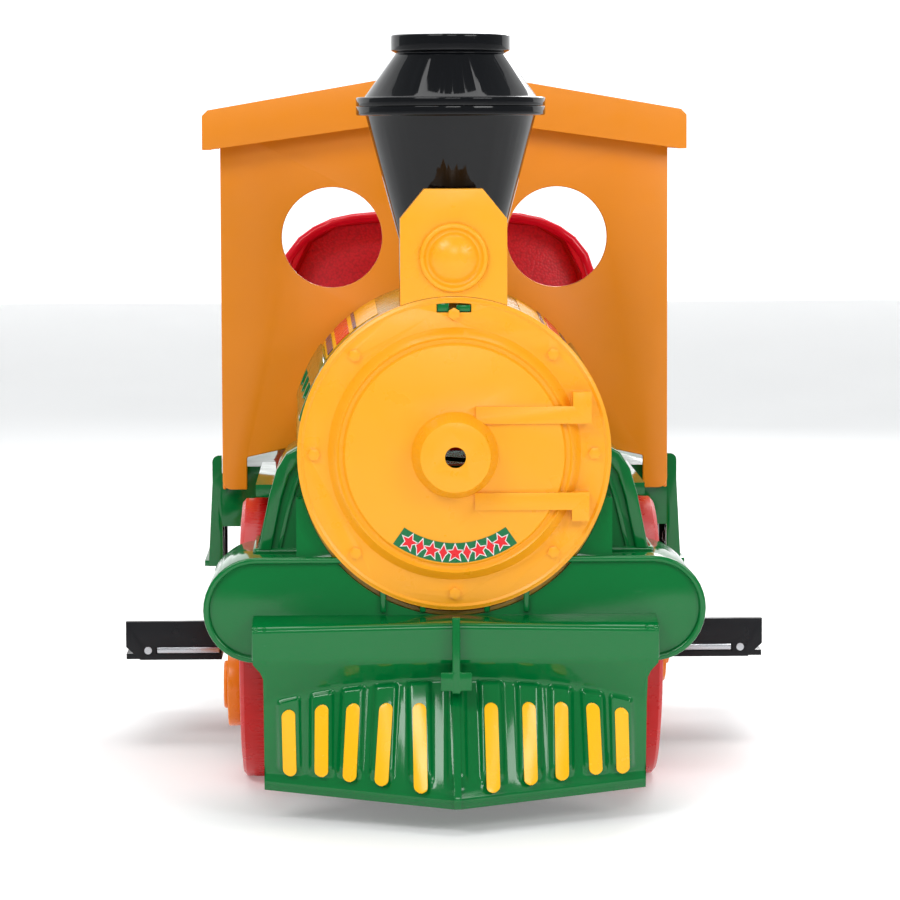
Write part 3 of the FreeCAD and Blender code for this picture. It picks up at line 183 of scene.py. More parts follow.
def prism(name, outline, start, depth, axis="Y"):
    """A closed outline drawn as (across, up) in metres, extruded along a row axis."""
    bpy.ops.object.select_all(action="DESELECT")
    bpy.ops.mesh.primitive_circle_add(vertices=len(outline), radius=0.1, fill_type="NGON")
    thing = bpy.context.object
    thing.name = name
    place = {
        "Y": lambda a, b: (a, start, b),
        "X": lambda a, b: (start, a, b),
        "Z": lambda a, b: (a, b, start),
    }[axis]
    for vertex, (across, up) in zip(thing.data.vertices, outline):
        vertex.co = place(across, up)
    step = {"Y": (0, depth, 0), "X": (depth, 0, 0), "Z": (0, 0, depth)}[axis]
    bpy.ops.object.mode_set(mode="EDIT")
    bpy.ops.mesh.select_all(action="SELECT")
    bpy.ops.mesh.extrude_region_move(TRANSFORM_OT_translate={"value": step})
    bpy.ops.mesh.select_all(action="SELECT")
    bpy.ops.mesh.normals_make_consistent(inside=False)
    bpy.ops.object.mode_set(mode="OBJECT")
    return thing


def block(name, low, high):
    """A box between two corners, with its place in its mesh."""
    outline = [(low[0], low[2]), (high[0], low[2]), (high[0], high[2]), (low[0], high[2])]
    return prism(name, outline, low[1], high[1] - low[1])


def sheet_from(name, columns, rows, place):
    """A grid whose points are put where a formula says; both counts are points."""
    bpy.ops.object.select_all(action="DESELECT")
    bpy.ops.mesh.primitive_grid_add(x_subdivisions=columns - 1, y_subdivisions=rows - 1, size=2)
    thing = bpy.context.object
    thing.name = name
    for vertex in thing.data.vertices:
        vertex.co = place((vertex.co.x + 1) / 2, (vertex.co.y + 1) / 2)
    return thing


def thicken(thing, depth, offset=-1):
    """Turns a sheet into a wall."""
    modifier = thing.modifiers.new("wall", "SOLIDIFY")
    modifier.thickness = depth
    modifier.offset = offset
    modifier.use_even_offset = False
    apply_all(thing)


def turn_profile(name, profile, centre, axis="X", steps=96):
    """A closed outline of (along, radius) points spun about an axis through centre."""
    bpy.ops.object.select_all(action="DESELECT")
    bpy.ops.mesh.primitive_circle_add(vertices=len(profile), radius=0.1, fill_type="NOTHING")
    thing = bpy.context.object
    thing.name = name
    for vertex, (along, radius) in zip(thing.data.vertices, profile):
        offset = {"X": (along, 0, radius), "Y": (radius, along, 0), "Z": (radius, 0, along)}[axis]
        vertex.co = Vector(centre) + Vector(offset)
    direction = {"X": (1, 0, 0), "Y": (0, 1, 0), "Z": (0, 0, 1)}[axis]
    bpy.ops.object.mode_set(mode="EDIT")
    bpy.ops.mesh.select_all(action="SELECT")
    bpy.ops.mesh.spin(steps=steps, angle=2 * math.pi, center=centre, axis=direction)
    bpy.ops.object.mode_set(mode="OBJECT")
    tidy_mesh(thing)
    return thing


def tube(name, points, radius, closed=False, resolution=6):
    """A round bar along a smooth line, as a mesh."""
    curve = bpy.data.curves.new(name, "CURVE")
    curve.dimensions = "3D"
    curve.bevel_depth = radius
    curve.bevel_resolution = resolution
    curve.use_fill_caps = True
    spline = curve.splines.new("POLY")
    spline.points.add(len(points) - 1)
    for point, place in zip(spline.points, points):
        point.co = (*place, 1)
    spline.use_cyclic_u = closed
    thing = bpy.data.objects.new(name, curve)
    bpy.context.scene.collection.objects.link(thing)
    only(thing)
    bpy.ops.object.convert(target="MESH")
    thing = bpy.context.object
    thing.name = name
    smooth(thing, 50)
    return thing


def join(name, *objects):
    """One object from several."""
    only(*objects)
    bpy.ops.object.join()
    thing = bpy.context.object
    thing.name = name
    return thing


def refined(node, name, radius, segments=3, degrees=32):
    """A merged copy of a frame node with its sharp edges rounded."""
    only(frame["nodes"][node])
    bpy.ops.object.duplicate()
    thing = bpy.context.object
    thing.name = name
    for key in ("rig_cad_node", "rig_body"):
        if key in thing:
            del thing[key]
    thing.parent = None
    if thing.data.has_custom_normals:
        bpy.ops.mesh.customdata_custom_splitnormals_clear()
    bpy.ops.object.mode_set(mode="EDIT")
    bpy.ops.mesh.select_all(action="SELECT")
    bpy.ops.mesh.remove_doubles(threshold=0.00002)
    bpy.ops.mesh.dissolve_limited(angle_limit=math.radians(0.6))
    bpy.ops.object.mode_set(mode="OBJECT")
    if radius:
        soften(thing, radius, segments, degrees)
    smooth(thing, 30)
    return thing


def finish_piece(thing, body, slot, *materials, replaces=()):
    """Gives a finished piece its material and body; the slot argument is not used."""
    thing.data.materials.clear()
    for material in materials:
        thing.data.materials.append(material)
    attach(thing, body)
    if replaces:
        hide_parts(*replaces)
    return thing


def dress_node(node, material):
    """A frame node keeps its mesh and gets a better material."""
    for slot in frame["nodes"][node].material_slots:
        slot.material = material


# ---------------------------------------------------------------- materials

def node_link(tree, source, target):
    tree.links.new(source, target)


def new_group(name, inputs, outputs):
    """An empty node group with typed sockets."""
    group = bpy.data.node_groups.new(name, "ShaderNodeTree")
    for label, kind, value in inputs:
        socket = group.interface.new_socket(name=label, in_out="INPUT", socket_type=kind)
        socket.default_value = value
    for label, kind in outputs:
        group.interface.new_socket(name=label, in_out="OUTPUT", socket_type=kind)
    entry = group.nodes.new("NodeGroupInput")
    leave = group.nodes.new("NodeGroupOutput")
    return group, entry, leave


def noise_node(tree, scale_from, detail, coordinate, scale=None):
    """A noise texture with a linked or plain scale."""
    made = tree.nodes.new("ShaderNodeTexNoise")
    made.inputs["Detail"].default_value = detail
    node_link(tree, coordinate, made.inputs["Vector"])
    if scale_from is not None:
        node_link(tree, scale_from, made.inputs["Scale"])
    else:
        made.inputs["Scale"].default_value = scale
    return made


def ranged(tree, value, low, high):
    """A map range from 0.3..0.7 noise to a wanted span, with linked or plain ends."""
    made = tree.nodes.new("ShaderNodeMapRange")
    made.inputs["From Min"].default_value = 0.32
    made.inputs["From Max"].default_value = 0.68
    node_link(tree, value, made.inputs["Value"])
    for label, end in (("To Min", low), ("To Max", high)):
        if isinstance(end, (int, float)):
            made.inputs[label].default_value = end
        else:
            node_link(tree, end, made.inputs[label])
    return made.outputs["Result"]


def build_moulded_group():
    """Moulded plastic: slow colour drift, gloss that varies, fine skin and a few hair scratches."""
    group, entry, leave = new_group(
        "moulded skin",
        (("Color", "NodeSocketColor", (1, 1, 1, 1)), ("Drift", "NodeSocketFloat", 0.08),
         ("Gloss low", "NodeSocketFloat", 0.14), ("Gloss high", "NodeSocketFloat", 0.26),
         ("Skin scale", "NodeSocketFloat", 900.0), ("Skin depth", "NodeSocketFloat", 0.25)),
        (("Color", "NodeSocketColor"), ("Roughness", "NodeSocketFloat"), ("Height", "NodeSocketFloat")))
    where = group.nodes.new("ShaderNodeTexCoord").outputs["Object"]
    slow = noise_node(group, None, 3.0, where, 9.0)
    cloud = noise_node(group, None, 5.0, where, 55.0)
    dark = group.nodes.new("ShaderNodeMix")
    dark.data_type = "RGBA"
    dark.blend_type = "MULTIPLY"
    dark.inputs["B"].default_value = (0.62, 0.66, 0.72, 1)
    amount = group.nodes.new("ShaderNodeMath")
    amount.operation = "MULTIPLY"
    node_link(group, ranged(group, slow.outputs["Fac"], 0.0, 1.0), amount.inputs[0])
    node_link(group, entry.outputs["Drift"], amount.inputs[1])
    node_link(group, amount.outputs[0], dark.inputs["Factor"])
    node_link(group, entry.outputs["Color"], dark.inputs["A"])
    node_link(group, dark.outputs["Result"], leave.inputs["Color"])
    gloss = ranged(group, cloud.outputs["Fac"], entry.outputs["Gloss low"], entry.outputs["Gloss high"])
    stretch = group.nodes.new("ShaderNodeMapping")
    stretch.inputs["Scale"].default_value = (14, 260, 90)
    stretch.inputs["Rotation"].default_value = (0.5, 0.3, 0.9)
    node_link(group, where, stretch.inputs["Vector"])
    lines = noise_node(group, None, 2.0, stretch.outputs["Vector"], 3.0)
    scratch = group.nodes.new("ShaderNodeMapRange")
    scratch.inputs["From Min"].default_value = 0.735
    scratch.inputs["From Max"].default_value = 0.76
    scratch.inputs["To Max"].default_value = 0.16
    node_link(group, lines.outputs["Fac"], scratch.inputs["Value"])
    rough = group.nodes.new("ShaderNodeMath")
    rough.operation = "ADD"
    node_link(group, gloss, rough.inputs[0])
    node_link(group, scratch.outputs["Result"], rough.inputs[1])
    node_link(group, rough.outputs[0], leave.inputs["Roughness"])
    skin = noise_node(group, entry.outputs["Skin scale"], 2.0, where)
    depth = group.nodes.new("ShaderNodeMath")
    depth.operation = "MULTIPLY"
    node_link(group, skin.outputs["Fac"], depth.inputs[0])
    node_link(group, entry.outputs["Skin depth"], depth.inputs[1])
    wave = group.nodes.new("ShaderNodeMath")
    wave.operation = "ADD"
    node_link(group, depth.outputs[0], wave.inputs[0])
    swell = group.nodes.new("ShaderNodeMath")
    swell.operation = "MULTIPLY"
    swell.inputs[1].default_value = 2.6
    node_link(group, noise_node(group, None, 1.0, where, 22.0).outputs["Fac"], swell.inputs[0])
    node_link(group, swell.outputs[0], wave.inputs[1])
    node_link(group, wave.outputs[0], leave.inputs["Height"])
    return group


def new_material(name):
    """A material, its node tree and its shader."""
    material = bpy.data.materials.new(name)
    material.use_nodes = True
    return material, material.node_tree, material.node_tree.nodes["Principled BSDF"]


def moulded(name, colour, drift=0.10, gloss=(0.14, 0.24), skin=(900.0, 0.25), bump=0.10, shine=0.4):
    """A plastic moulding made with the shared skin."""
    material, tree, shader = new_material(name)
    group = tree.nodes.new("ShaderNodeGroup")
    group.node_tree = bpy.data.node_groups["moulded skin"]
    group.inputs["Color"].default_value = (*colour, 1)
    group.inputs["Drift"].default_value = drift
    group.inputs["Gloss low"].default_value, group.inputs["Gloss high"].default_value = gloss
    group.inputs["Skin scale"].default_value, group.inputs["Skin depth"].default_value = skin
    ridge = tree.nodes.new("ShaderNodeBump")
    ridge.inputs["Strength"].default_value = bump
    ridge.inputs["Distance"].default_value = 0.001
    node_link(tree, group.outputs["Height"], ridge.inputs["Height"])
    node_link(tree, group.outputs["Color"], shader.inputs["Base Color"])
    node_link(tree, group.outputs["Roughness"], shader.inputs["Roughness"])
    node_link(tree, ridge.outputs["Normal"], shader.inputs["Normal"])
    shader.inputs["Specular IOR Level"].default_value = shine
    return material


def pebbled(name, colour, scale=420.0, strength=0.55, roughness=(0.38, 0.5)):
    """A grained panel: small rounded pebbles with shallow gaps, and shade painted into the gaps."""
    material, tree, shader = new_material(name)
    where = tree.nodes.new("ShaderNodeTexCoord").outputs["Object"]
    cells = tree.nodes.new("ShaderNodeTexVoronoi")
    cells.feature = "SMOOTH_F1"
    cells.inputs["Scale"].default_value = scale
    cells.inputs["Smoothness"].default_value = 0.35
    node_link(tree, where, cells.inputs["Vector"])
    # painted shade: the colour darkens to 0.78 of itself toward each pebble's edge, shade painted into the
    # gaps between pebbles
    shade = tree.nodes.new("ShaderNodeValToRGB")
    shade.color_ramp.elements[0].color = (*colour, 1)
    shade.color_ramp.elements[1].color = (*[part * 0.78 for part in colour], 1)
    shade.color_ramp.elements[0].position = 0.35
    shade.color_ramp.elements[1].position = 0.85
    node_link(tree, cells.outputs["Distance"], shade.inputs["Fac"])
    node_link(tree, shade.outputs["Color"], shader.inputs["Base Color"])
    gloss = ranged(tree, noise_node(tree, None, 4.0, where, 40.0).outputs["Fac"], *roughness)
    node_link(tree, gloss, shader.inputs["Roughness"])
    ridge = tree.nodes.new("ShaderNodeBump")
    ridge.invert = True
    ridge.inputs["Strength"].default_value = strength
    ridge.inputs["Distance"].default_value = 0.0006
    node_link(tree, cells.outputs["Distance"], ridge.inputs["Height"])
    node_link(tree, ridge.outputs["Normal"], shader.inputs["Normal"])
    return material


def metal(name, colour, roughness=(0.2, 0.38), stretch=(1, 1, 40), bump=0.05):
    """Drawn or plated metal with fine lines along its length."""
    material, tree, shader = new_material(name)
    where = tree.nodes.new("ShaderNodeTexCoord").outputs["Object"]
    mapping = tree.nodes.new("ShaderNodeMapping")
    mapping.inputs["Scale"].default_value = stretch
    node_link(tree, where, mapping.inputs["Vector"])
    lines = noise_node(tree, None, 3.0, mapping.outputs["Vector"], 120.0)
    node_link(tree, ranged(tree, lines.outputs["Fac"], *roughness), shader.inputs["Roughness"])
    shade = tree.nodes.new("ShaderNodeValToRGB")
    shade.color_ramp.elements[0].color = (*[part * 0.8 for part in colour], 1)
    shade.color_ramp.elements[1].color = (*colour, 1)
    node_link(tree, lines.outputs["Fac"], shade.inputs["Fac"])
    node_link(tree, shade.outputs["Color"], shader.inputs["Base Color"])
    ridge = tree.nodes.new("ShaderNodeBump")
    ridge.inputs["Strength"].default_value = bump
    ridge.inputs["Distance"].default_value = 0.0005
    node_link(tree, lines.outputs["Fac"], ridge.inputs["Height"])
    node_link(tree, ridge.outputs["Normal"], shader.inputs["Normal"])
    shader.inputs["Metallic"].default_value = 1.0
    return material


MATERIALS = {}


class OBJECT_OT_finishes(bpy.types.Operator):
    """Make every finish and give the frame nodes that stay theirs"""

    bl_idname = "locomotive.finishes"
    bl_label = "Finishes"

    def execute(self, context):
        build_moulded_group()
        tint = colours()
        MATERIALS.update({
            "green": moulded("green moulding", tint.green, 0.22, (0.06, 0.12), (700.0, 0.10), 0.11, 0.42),
            "door": moulded("door yellow moulding", tint.door, 0.08, (0.26, 0.36), (1400.0, 0.5), 0.06),
            "cab": moulded("cab orange moulding", tint.cab, 0.10, (0.30, 0.42), (1600.0, 0.8), 0.07),
            "boiler": moulded("boiler yellow moulding", tint.boiler, 0.15, (0.22, 0.32), (1200.0, 0.4), 0.06),
            "stripe": moulded("stripe film", tint.stripe, 0.04, (0.2, 0.28), (1500.0, 0.3), 0.04),
            "rod": moulded("rod orange moulding", tint.rod, 0.08, (0.24, 0.34), (1300.0, 0.6), 0.06),
            "wheel": moulded("wheel red moulding", tint.wheel, 0.18, (0.24, 0.36), (900.0, 0.5), 0.08),
            "seat": moulded("seat red moulding", tint.seat, 0.08, (0.10, 0.18), (900.0, 0.2), 0.08, 0.4),
            # the seat's own red made lighter and pinker as painted light: the grain's sheen, and a lift
            # against the shade inside the cab
            "pebble": pebbled("seat red pebble", (0.86, 0.02, 0.045), 420.0, 0.45),
            "black_gloss": moulded("stack black moulding", tint.black, 0.10, (0.05, 0.10), (800.0, 0.1),
                                   0.05, 0.32),
            "black_satin": moulded("step black moulding", (0.005, 0.0055, 0.008), 0.2, (0.26, 0.4),
                                   (1400.0, 1.2), 0.12, 0.25),
            "grip": pebbled("grip rubber", (0.018, 0.018, 0.02), 700.0, 0.6, (0.55, 0.7)),
            "nylon": moulded("natural nylon", (0.72, 0.69, 0.6), 0.15, (0.35, 0.5), (1000.0, 0.5), 0.06),
            "battery": moulded("battery case", (0.09, 0.10, 0.12), 0.2, (0.4, 0.55), (900.0, 0.8), 0.1),
            "wire": moulded("wire cover", (0.45, 0.01, 0.012), 0.1, (0.3, 0.4), (1200.0, 0.3), 0.05),
            "steel": metal("plated steel", (0.56, 0.57, 0.60)),
            "brass": metal("pinion brass", (0.75, 0.55, 0.25)),
            "red": moulded("print red", (0.72, 0.012, 0.02), 0.04, (0.2, 0.3), (1400.0, 0.2), 0.03),
            "white": moulded("print white", (0.82, 0.82, 0.80), 0.04, (0.2, 0.3), (1400.0, 0.2), 0.03),
            "navy": moulded("print dark blue", (0.02, 0.03, 0.10), 0.04, (0.2, 0.3), (1400.0, 0.2), 0.03),
            "print_green": moulded("print green", (0.0, 0.15, 0.045), 0.04, (0.2, 0.3), (1400.0, 0.2), 0.03),
        })
        by_slot = {
            "green": "green", "yellow_sticker": "stripe", "boiler_yellow": "boiler", "door_yellow": "door",
            "label_print": "print_green", "black_gloss": "black_gloss", "side_print": "stripe",
            "cab_orange": "cab", "black_satin": "black_satin", "red": "seat", "grip_rubber": "grip",
            "steel": "steel", "nylon": "nylon", "wheel_red": "wheel", "rod_orange": "rod", "brass": "brass",
            "battery_grey": "battery", "wire_cover": "wire",
        }
        for part in frame["record"]["subparts"]:
            dress_node(part["node"], MATERIALS[by_slot[part["material_slot"]]])
        return {"FINISHED"}


# ---------------------------------------------------------------- stage

class OBJECT_OT_stage(bpy.types.Operator):
    """Pale floor and backdrop, soft lights and the camera"""

    bl_idname = "locomotive.stage"
    bl_label = "Stage"

    def execute(self, context):
        scene = context.scene
        scene.view_settings.view_transform = "Standard"
        world = bpy.data.worlds.new("studio")
        scene.world = world
        world.use_nodes = True
        world.node_tree.nodes["Background"].inputs["Color"].default_value = (0.92, 0.97, 1.0, 1)
        world.node_tree.nodes["Background"].inputs["Strength"].default_value = 0.34
        bpy.ops.object.select_all(action="DESELECT")
        bpy.ops.mesh.primitive_plane_add(size=30, location=(0, 0, 0))
        floor = context.object
        floor.name = "floor"
        material, tree, shader = new_material("pale floor")
        where = tree.nodes.new("ShaderNodeTexCoord").outputs["Object"]
        soft = ranged(tree, noise_node(tree, None, 2.0, where, 3.0).outputs["Fac"], 0.55, 0.65)
        node_link(tree, soft, shader.inputs["Roughness"])
        shader.inputs["Base Color"].default_value = (0.84, 0.84, 0.84, 1)
        shader.inputs["Specular IOR Level"].default_value = 0.2
        shader.inputs["Emission Color"].default_value = (1, 1, 1, 1)
        shader.inputs["Emission Strength"].default_value = 0.2
        floor.data.materials.append(material)
        bpy.ops.object.select_all(action="DESELECT")
        bpy.ops.mesh.primitive_plane_add(size=34, location=(0, 9, 0), rotation=(math.radians(90), 0, 0))
        screen = context.object
        screen.name = "backdrop"
        material, tree, shader = new_material("bright backdrop")
        where = tree.nodes.new("ShaderNodeTexCoord").outputs["Object"]
        soft = ranged(tree, noise_node(tree, None, 1.0, where, 0.3).outputs["Fac"], 0.6, 0.7)
        node_link(tree, soft, shader.inputs["Roughness"])
        shader.inputs["Base Color"].default_value = (0.9, 0.9, 0.9, 1)
        shader.inputs["Emission Color"].default_value = (1, 1, 1, 1)
        shader.inputs["Emission Strength"].default_value = 0.75
        screen.data.materials.append(material)
        lamps = (
            ("key", (-1.5, -2.5, 2.5), (0, 0, 0.25), 1.5, 44),
            ("fill", (1.9, -2.6, 1.6), (0, 0, 0.3), 1.3, 27),
            ("front", (0.1, -4.2, 1.9), (0, 0, 0.2), 1.2, 22),
            ("top", (0, 0.1, 3.0), (0, 0, 0.3), 2.4, 44),
            ("back", (0.9, 2.8, 1.8), (0, 0, 0.4), 1.6, 42),
        )
        for name, place, target, width, power in lamps:
            light = bpy.data.lights.new(name, "AREA")
            light.shape = "RECTANGLE"
            light.size = width
            light.size_y = width * 0.7
            light.energy = power
            lamp = bpy.data.objects.new(name, light)
            scene.collection.objects.link(lamp)
            lamp.location = place
            lamp.rotation_euler = (Vector(target) - Vector(place)).to_track_quat("-Z", "Y").to_euler()
        lens = bpy.data.cameras.new("camera")
        lens.lens = 153
        lens.sensor_width = 36
        lens.clip_end = 60
        camera = bpy.data.objects.new("camera", lens)
        scene.collection.objects.link(camera)
        camera.location = (-0.075, -3.41, 0.56)
        camera.rotation_euler = (math.radians(85.2), math.radians(0.2), math.radians(-1.35))
        scene.camera = camera
        return {"FINISHED"}


# ---------------------------------------------------------------- rounded mouldings

# frame node, body it rides, material slot of the record, finish, edge radius in mm, segments
MOULDINGS = (
    ("front_body", "chassis", "green", "green", 3.0, 3),
    ("nose_clip", "chassis", "green", "green", 1.2, 3),
    ("rear_body", "chassis", "green", "green", 3.0, 3),
    ("rear_tray", "chassis", "green", "green", 1.2, 2),
    ("lamp_tabs", "chassis", "green", "green", 0.8, 2),
    ("handrails", "chassis", "green", "green", 1.4, 3),
    ("smokebox_door", "chassis", "door_yellow", "door", 0.6, 2),
    ("headlamp", "chassis", "door_yellow", "door", 2.0, 4),
    ("headlamp_lens", "chassis", "door_yellow", "door", 1.6, 3),
    ("stack_base", "chassis", "black_gloss", "black_gloss", 1.3, 3),
    ("stack_cap", "chassis", "black_gloss", "black_gloss", 1.0, 3),
    ("cab_front", "chassis", "cab_orange", "cab", 1.2, 3),
    ("cab_side_left", "chassis", "cab_orange", "cab", 1.2, 3),
    ("cab_side_right", "chassis", "cab_orange", "cab", 1.2, 3),
    ("roof", "chassis", "cab_orange", "cab", 3.0, 4),
    ("console", "chassis", "black_satin", "black_satin", 2.0, 3),
    ("handlebar", "chassis", "black_satin", "black_satin", 1.2, 3),
    ("handlebar_grips", "chassis", "grip_rubber", "grip", 2.0, 3),
    ("sound_box", "chassis", "black_satin", "black_satin", 1.5, 3),
    ("charge_plug", "chassis", "black_satin", "black_satin", 1.0, 3),
    ("footrest_left", "chassis", "black_satin", "black_satin", 1.6, 3),
    ("footrest_right", "chassis", "black_satin", "black_satin", 1.6, 3),
    ("footrest_bars", "chassis", "steel", "steel", 1.0, 2),
    ("horn_button", "horn_button", "red", "seat", 1.6, 3),
    ("bell_button", "bell_button", "yellow_sticker", "stripe", 1.6, 3),
    ("go_button", "go_button", "red", "seat", 1.6, 3),
    ("seat", "seat", "red", "seat", 4.5, 4),
    ("side_rod_left", "side_rod_left", "rod_orange", "rod", 1.6, 3),
    ("side_rod_right", "side_rod_right", "rod_orange", "rod", 1.6, 3),
    ("battery", "chassis", "battery_grey", "battery", 1.5, 2),
    ("motor", "chassis", "steel", "steel", 0.8, 2),
    ("gearbox_case", "chassis", "black_satin", "black_satin", 1.0, 2),
    ("axle_nuts", "chassis", "black_satin", "black_satin", 0.8, 2),
)


class OBJECT_OT_mouldings(bpy.types.Operator):
    """Give the mouldings that keep the frame's shape softly rounded edges"""

    bl_idname = "locomotive.mouldings"
    bl_label = "Rounded mouldings"

    def execute(self, context):
        for node, body, slot, finish, radius, segments in MOULDINGS:
            made = refined(node, node + "_moulded", radius * MM, segments)
            finish_piece(made, body, slot, MATERIALS[finish], replaces=(node,))
        return {"FINISHED"}


# ---------------------------------------------------------------- plough and beam

PLOUGH_HALF = 0.155
BEAM_WIDER = 0.0516
RIB_FLAT, RIB_FOOT = 6.4, 11.5
# each stripe's x at its top and its foot, then the two heights, in mm
STRIPES = ((-135, -134, 93, 39.5), (-108, -108.5, 97, 40), (-82.5, -86, 97.8, 37), (-56, -60.5, 98, 35),
           (-29.5, -29, 98, 31.2), (28, 28.8, 98, 31.2), (58.6, 59.4, 98, 35), (85, 85, 97.8, 37),
           (110.5, 113, 97, 40), (134, 135.5, 93, 39.5))


def rounded_corners(points, radii, steps=5):
    """The same open line with its inner corners replaced by arcs."""
    line = [points[0]]
    for before, corner, after, radius in zip(points, points[1:], points[2:], radii):
        corner, before, after = Vector(corner), Vector(before), Vector(after)
        back, ahead = (before - corner), (after - corner)
        reach = min(radius, back.length * 0.45, ahead.length * 0.45)
        start, end = corner + back.normalized() * reach, corner + ahead.normalized() * reach
        for k in range(steps + 1):
            t = k / steps
            line.append(tuple(start * (1 - t) ** 2 + corner * 2 * t * (1 - t) + end * t ** 2))
    line.append(points[-1])
    return line


def plough_corners(x):
    """(y, z) corners in mm down the beam and the plough at x, given in metres."""
    share = min(abs(x) / PLOUGH_HALF, 1)
    tip, low = -410 + 72 * share, 20.5 + 5 * share
    return [(-335.5, 168), (-371.5 + 4 * share, 165.5 - 3.5 * share), (-370 + 4 * share, 134),
            (-353 + 7 * share, 118.5 - 20 * share ** 2), (tip + 2.5, low + 13.5), (tip - 0.5, low + 6.5),
            (tip + 4, low)]


def slope_share(point, corners):
    """How far down the slope a point is, from 0 at the crease to 1 at the foot."""
    crease, foot = corners[3], corners[4]
    return (crease[1] - point[1]) / (crease[1] - foot[1])


def plough_rows(x):
    """The line down the beam and plough at x, evenly filled on the long slope."""
    corners = plough_corners(x)
    line = rounded_corners(corners, (5, 4, 5, 6, 5))
    filled = []
    for here, after in zip(line, line[1:]):
        gap = math.dist(here, after)
        count = 34 if gap > 40 else 5 if gap > 9 else 1
        filled += [tuple(a + (b - a) * k / count for a, b in zip(here, after)) for k in range(count)]
    return filled + [line[-1]], corners


def rib_height(x, share):
    """0..1: how far the ribs rise at x (mm) and a share of the slope."""
    if not 0.0 < share < 1.0:
        return 0.0
    nearest = min(abs(x - (top + (low - top) * share)) for top, low, top_z, low_z in STRIPES)
    nearest = min(nearest, abs(x) + 1.5)
    fall = min(max((nearest - RIB_FLAT) / (RIB_FOOT - RIB_FLAT), 0.0), 1.0)
    across = 0.5 + 0.5 * math.cos(math.pi * fall)
    start = min(share / 0.05, 1.0)
    end = min(max((0.98 - share) / 0.13, 0.0), 1.0)
    return across * start * (3 - 2 * start) * start * end * end * (3 - 2 * end)


def on_plough(x, share, lift):
    """A point on the slope at x (metres) lifted off it by lift (mm)."""
    corners = plough_corners(x)
    crease, foot = corners[3], corners[4]
    out = Vector((crease[1] - foot[1], 0)).length, abs(foot[0] - crease[0])
    scale = math.hypot(*out)
    y = crease[0] + (foot[0] - crease[0]) * share - lift * out[0] / scale
    z = crease[1] + (foot[1] - crease[1]) * share + lift * out[1] / scale
    return Vector((x, y * MM, z * MM))


class OBJECT_OT_plough(bpy.types.Operator):
    """Build the beam and ribbed plough, its stripes and its centre rib"""

    bl_idname = "locomotive.plough"
    bl_label = "Plough"

    def execute(self, context):
        rise = sizes().rib_rise / MM
        columns = 281
        table = []
        for k in range(columns):
            x = (2 * k / (columns - 1) - 1) * PLOUGH_HALF
            line, corners = plough_rows(x)
            column = []
            for n, (y, z) in enumerate(line):
                near, far = line[max(n - 1, 0)], line[min(n + 1, len(line) - 1)]
                way = Vector((far[0] - near[0], far[1] - near[1])).normalized()
                lift = rise * rib_height(x / MM, slope_share((y, z), corners))
                wide = min(max((z - 122) / 10, 0), 1)
                column.append((x * (1 + BEAM_WIDER * wide), (y + lift * way.y) * MM, (z - lift * way.x) * MM))
            table.append(column)
        rows = len(table[0])
        skin = sheet_from("plough_skin", columns, rows,
                          lambda u, v: table[round(u * (columns - 1))][round(v * (rows - 1))])
        tidy_mesh(skin, outward=False)
        thicken(skin, 2.6 * MM, offset=-1 if skin.data.polygons[0].normal.z > 0 else 1)
        tidy_mesh(skin)
        smooth(skin, 50)
        ends = []
        for side in (-1, 1):
            edge = [(y * MM, z * MM) for y, z in plough_corners(PLOUGH_HALF)]
            edge.append((CYLINDER_BACK, 0.06))
            plate = prism("plough_end", edge, side * PLOUGH_HALF, -side * 3 * MM, "X")
            soften(plate, 0.8 * MM, 2)
            cheek = [(y * MM, z * MM) for y, z in plough_corners(PLOUGH_HALF)[:3]] + [(CYLINDER_BACK, 0.134)]
            cheek = prism("beam_end", cheek, side * 0.1637, -side * 6 * MM, "X")
            soften(cheek, 2.6 * MM, 4)
            ends += [plate, cheek]
        for piece in ends:
            smooth(piece, 35)
        plough = join("plough", skin, *ends)
        finish_piece(plough, "chassis", "green", MATERIALS["green"], replaces=("cowcatcher",))
        bars = []
        for top_x, low_x, top_z, low_z in STRIPES:
            corners = plough_corners(top_x * MM)
            first = slope_share((0, top_z), corners)
            last = slope_share((0, low_z), corners)
            length = (top_z - low_z) * 1.17

            def place(u, v, top_x=top_x, low_x=low_x, first=first, last=last):
                run = 0.5 - 0.5 * math.cos(math.pi * v)
                gap = min(run, 1 - run) * length
                half = 5.4 if gap >= 5.4 else math.sqrt(max(5.4 ** 2 - (5.4 - gap) ** 2, 0.2))
                x = (top_x + (low_x - top_x) * run + half * (2 * u - 1)) * MM
                share = first + (last - first) * run
                crown = 0.35 * (1 - (2 * u - 1) ** 2)
                return on_plough(x, share, rise + 0.25 + crown)

            bar = sheet_from("stripe", 7, 29, place)
            thicken(bar, 1.1 * MM, offset=0)
            tidy_mesh(bar)
            smooth(bar, 50)
            bars.append(bar)
        stripes = join("plough_stripes", *bars)
        finish_piece(stripes, "chassis", "yellow_sticker", MATERIALS["stripe"], replaces=("plough_bars",))
        line = plough_rows(0)[0]
        outer = [(y - 4.6, z + 1.5) for y, z in line[8:]]
        spine_line = [(-0.3735, 0.1712), (-0.3795, 0.1712)]
        spine_line += [(y * MM, z * MM) for y, z in outer if z < 166]
        spine_line += [(-0.4075, 0.0215)] + [(y * MM, z * MM) for y, z in reversed(line[8:]) if z < 162]
        spine = prism("plough_spine", spine_line, -3.1 * MM, 6.2 * MM, "X")
        soften(spine, 1.4 * MM, 3)
        smooth(spine, 40)
        finish_piece(spine, "chassis", "green", MATERIALS["green"])
        return {"FINISHED"}


# ---------------------------------------------------------------- saddle and cylinder trim

def stadium(half, low, high, steps=20):
    """A closed outline with two round ends."""
    radius, middle = (high - low) / 2, (high + low) / 2
    points = []
    for side, start in ((1, -90), (-1, 90)):
        for k in range(steps + 1):
            turn = math.radians(start + 180 * k / steps)
            points.append((side * (half - radius) + radius * math.cos(turn),
                           middle + radius * math.sin(turn)))
    return points


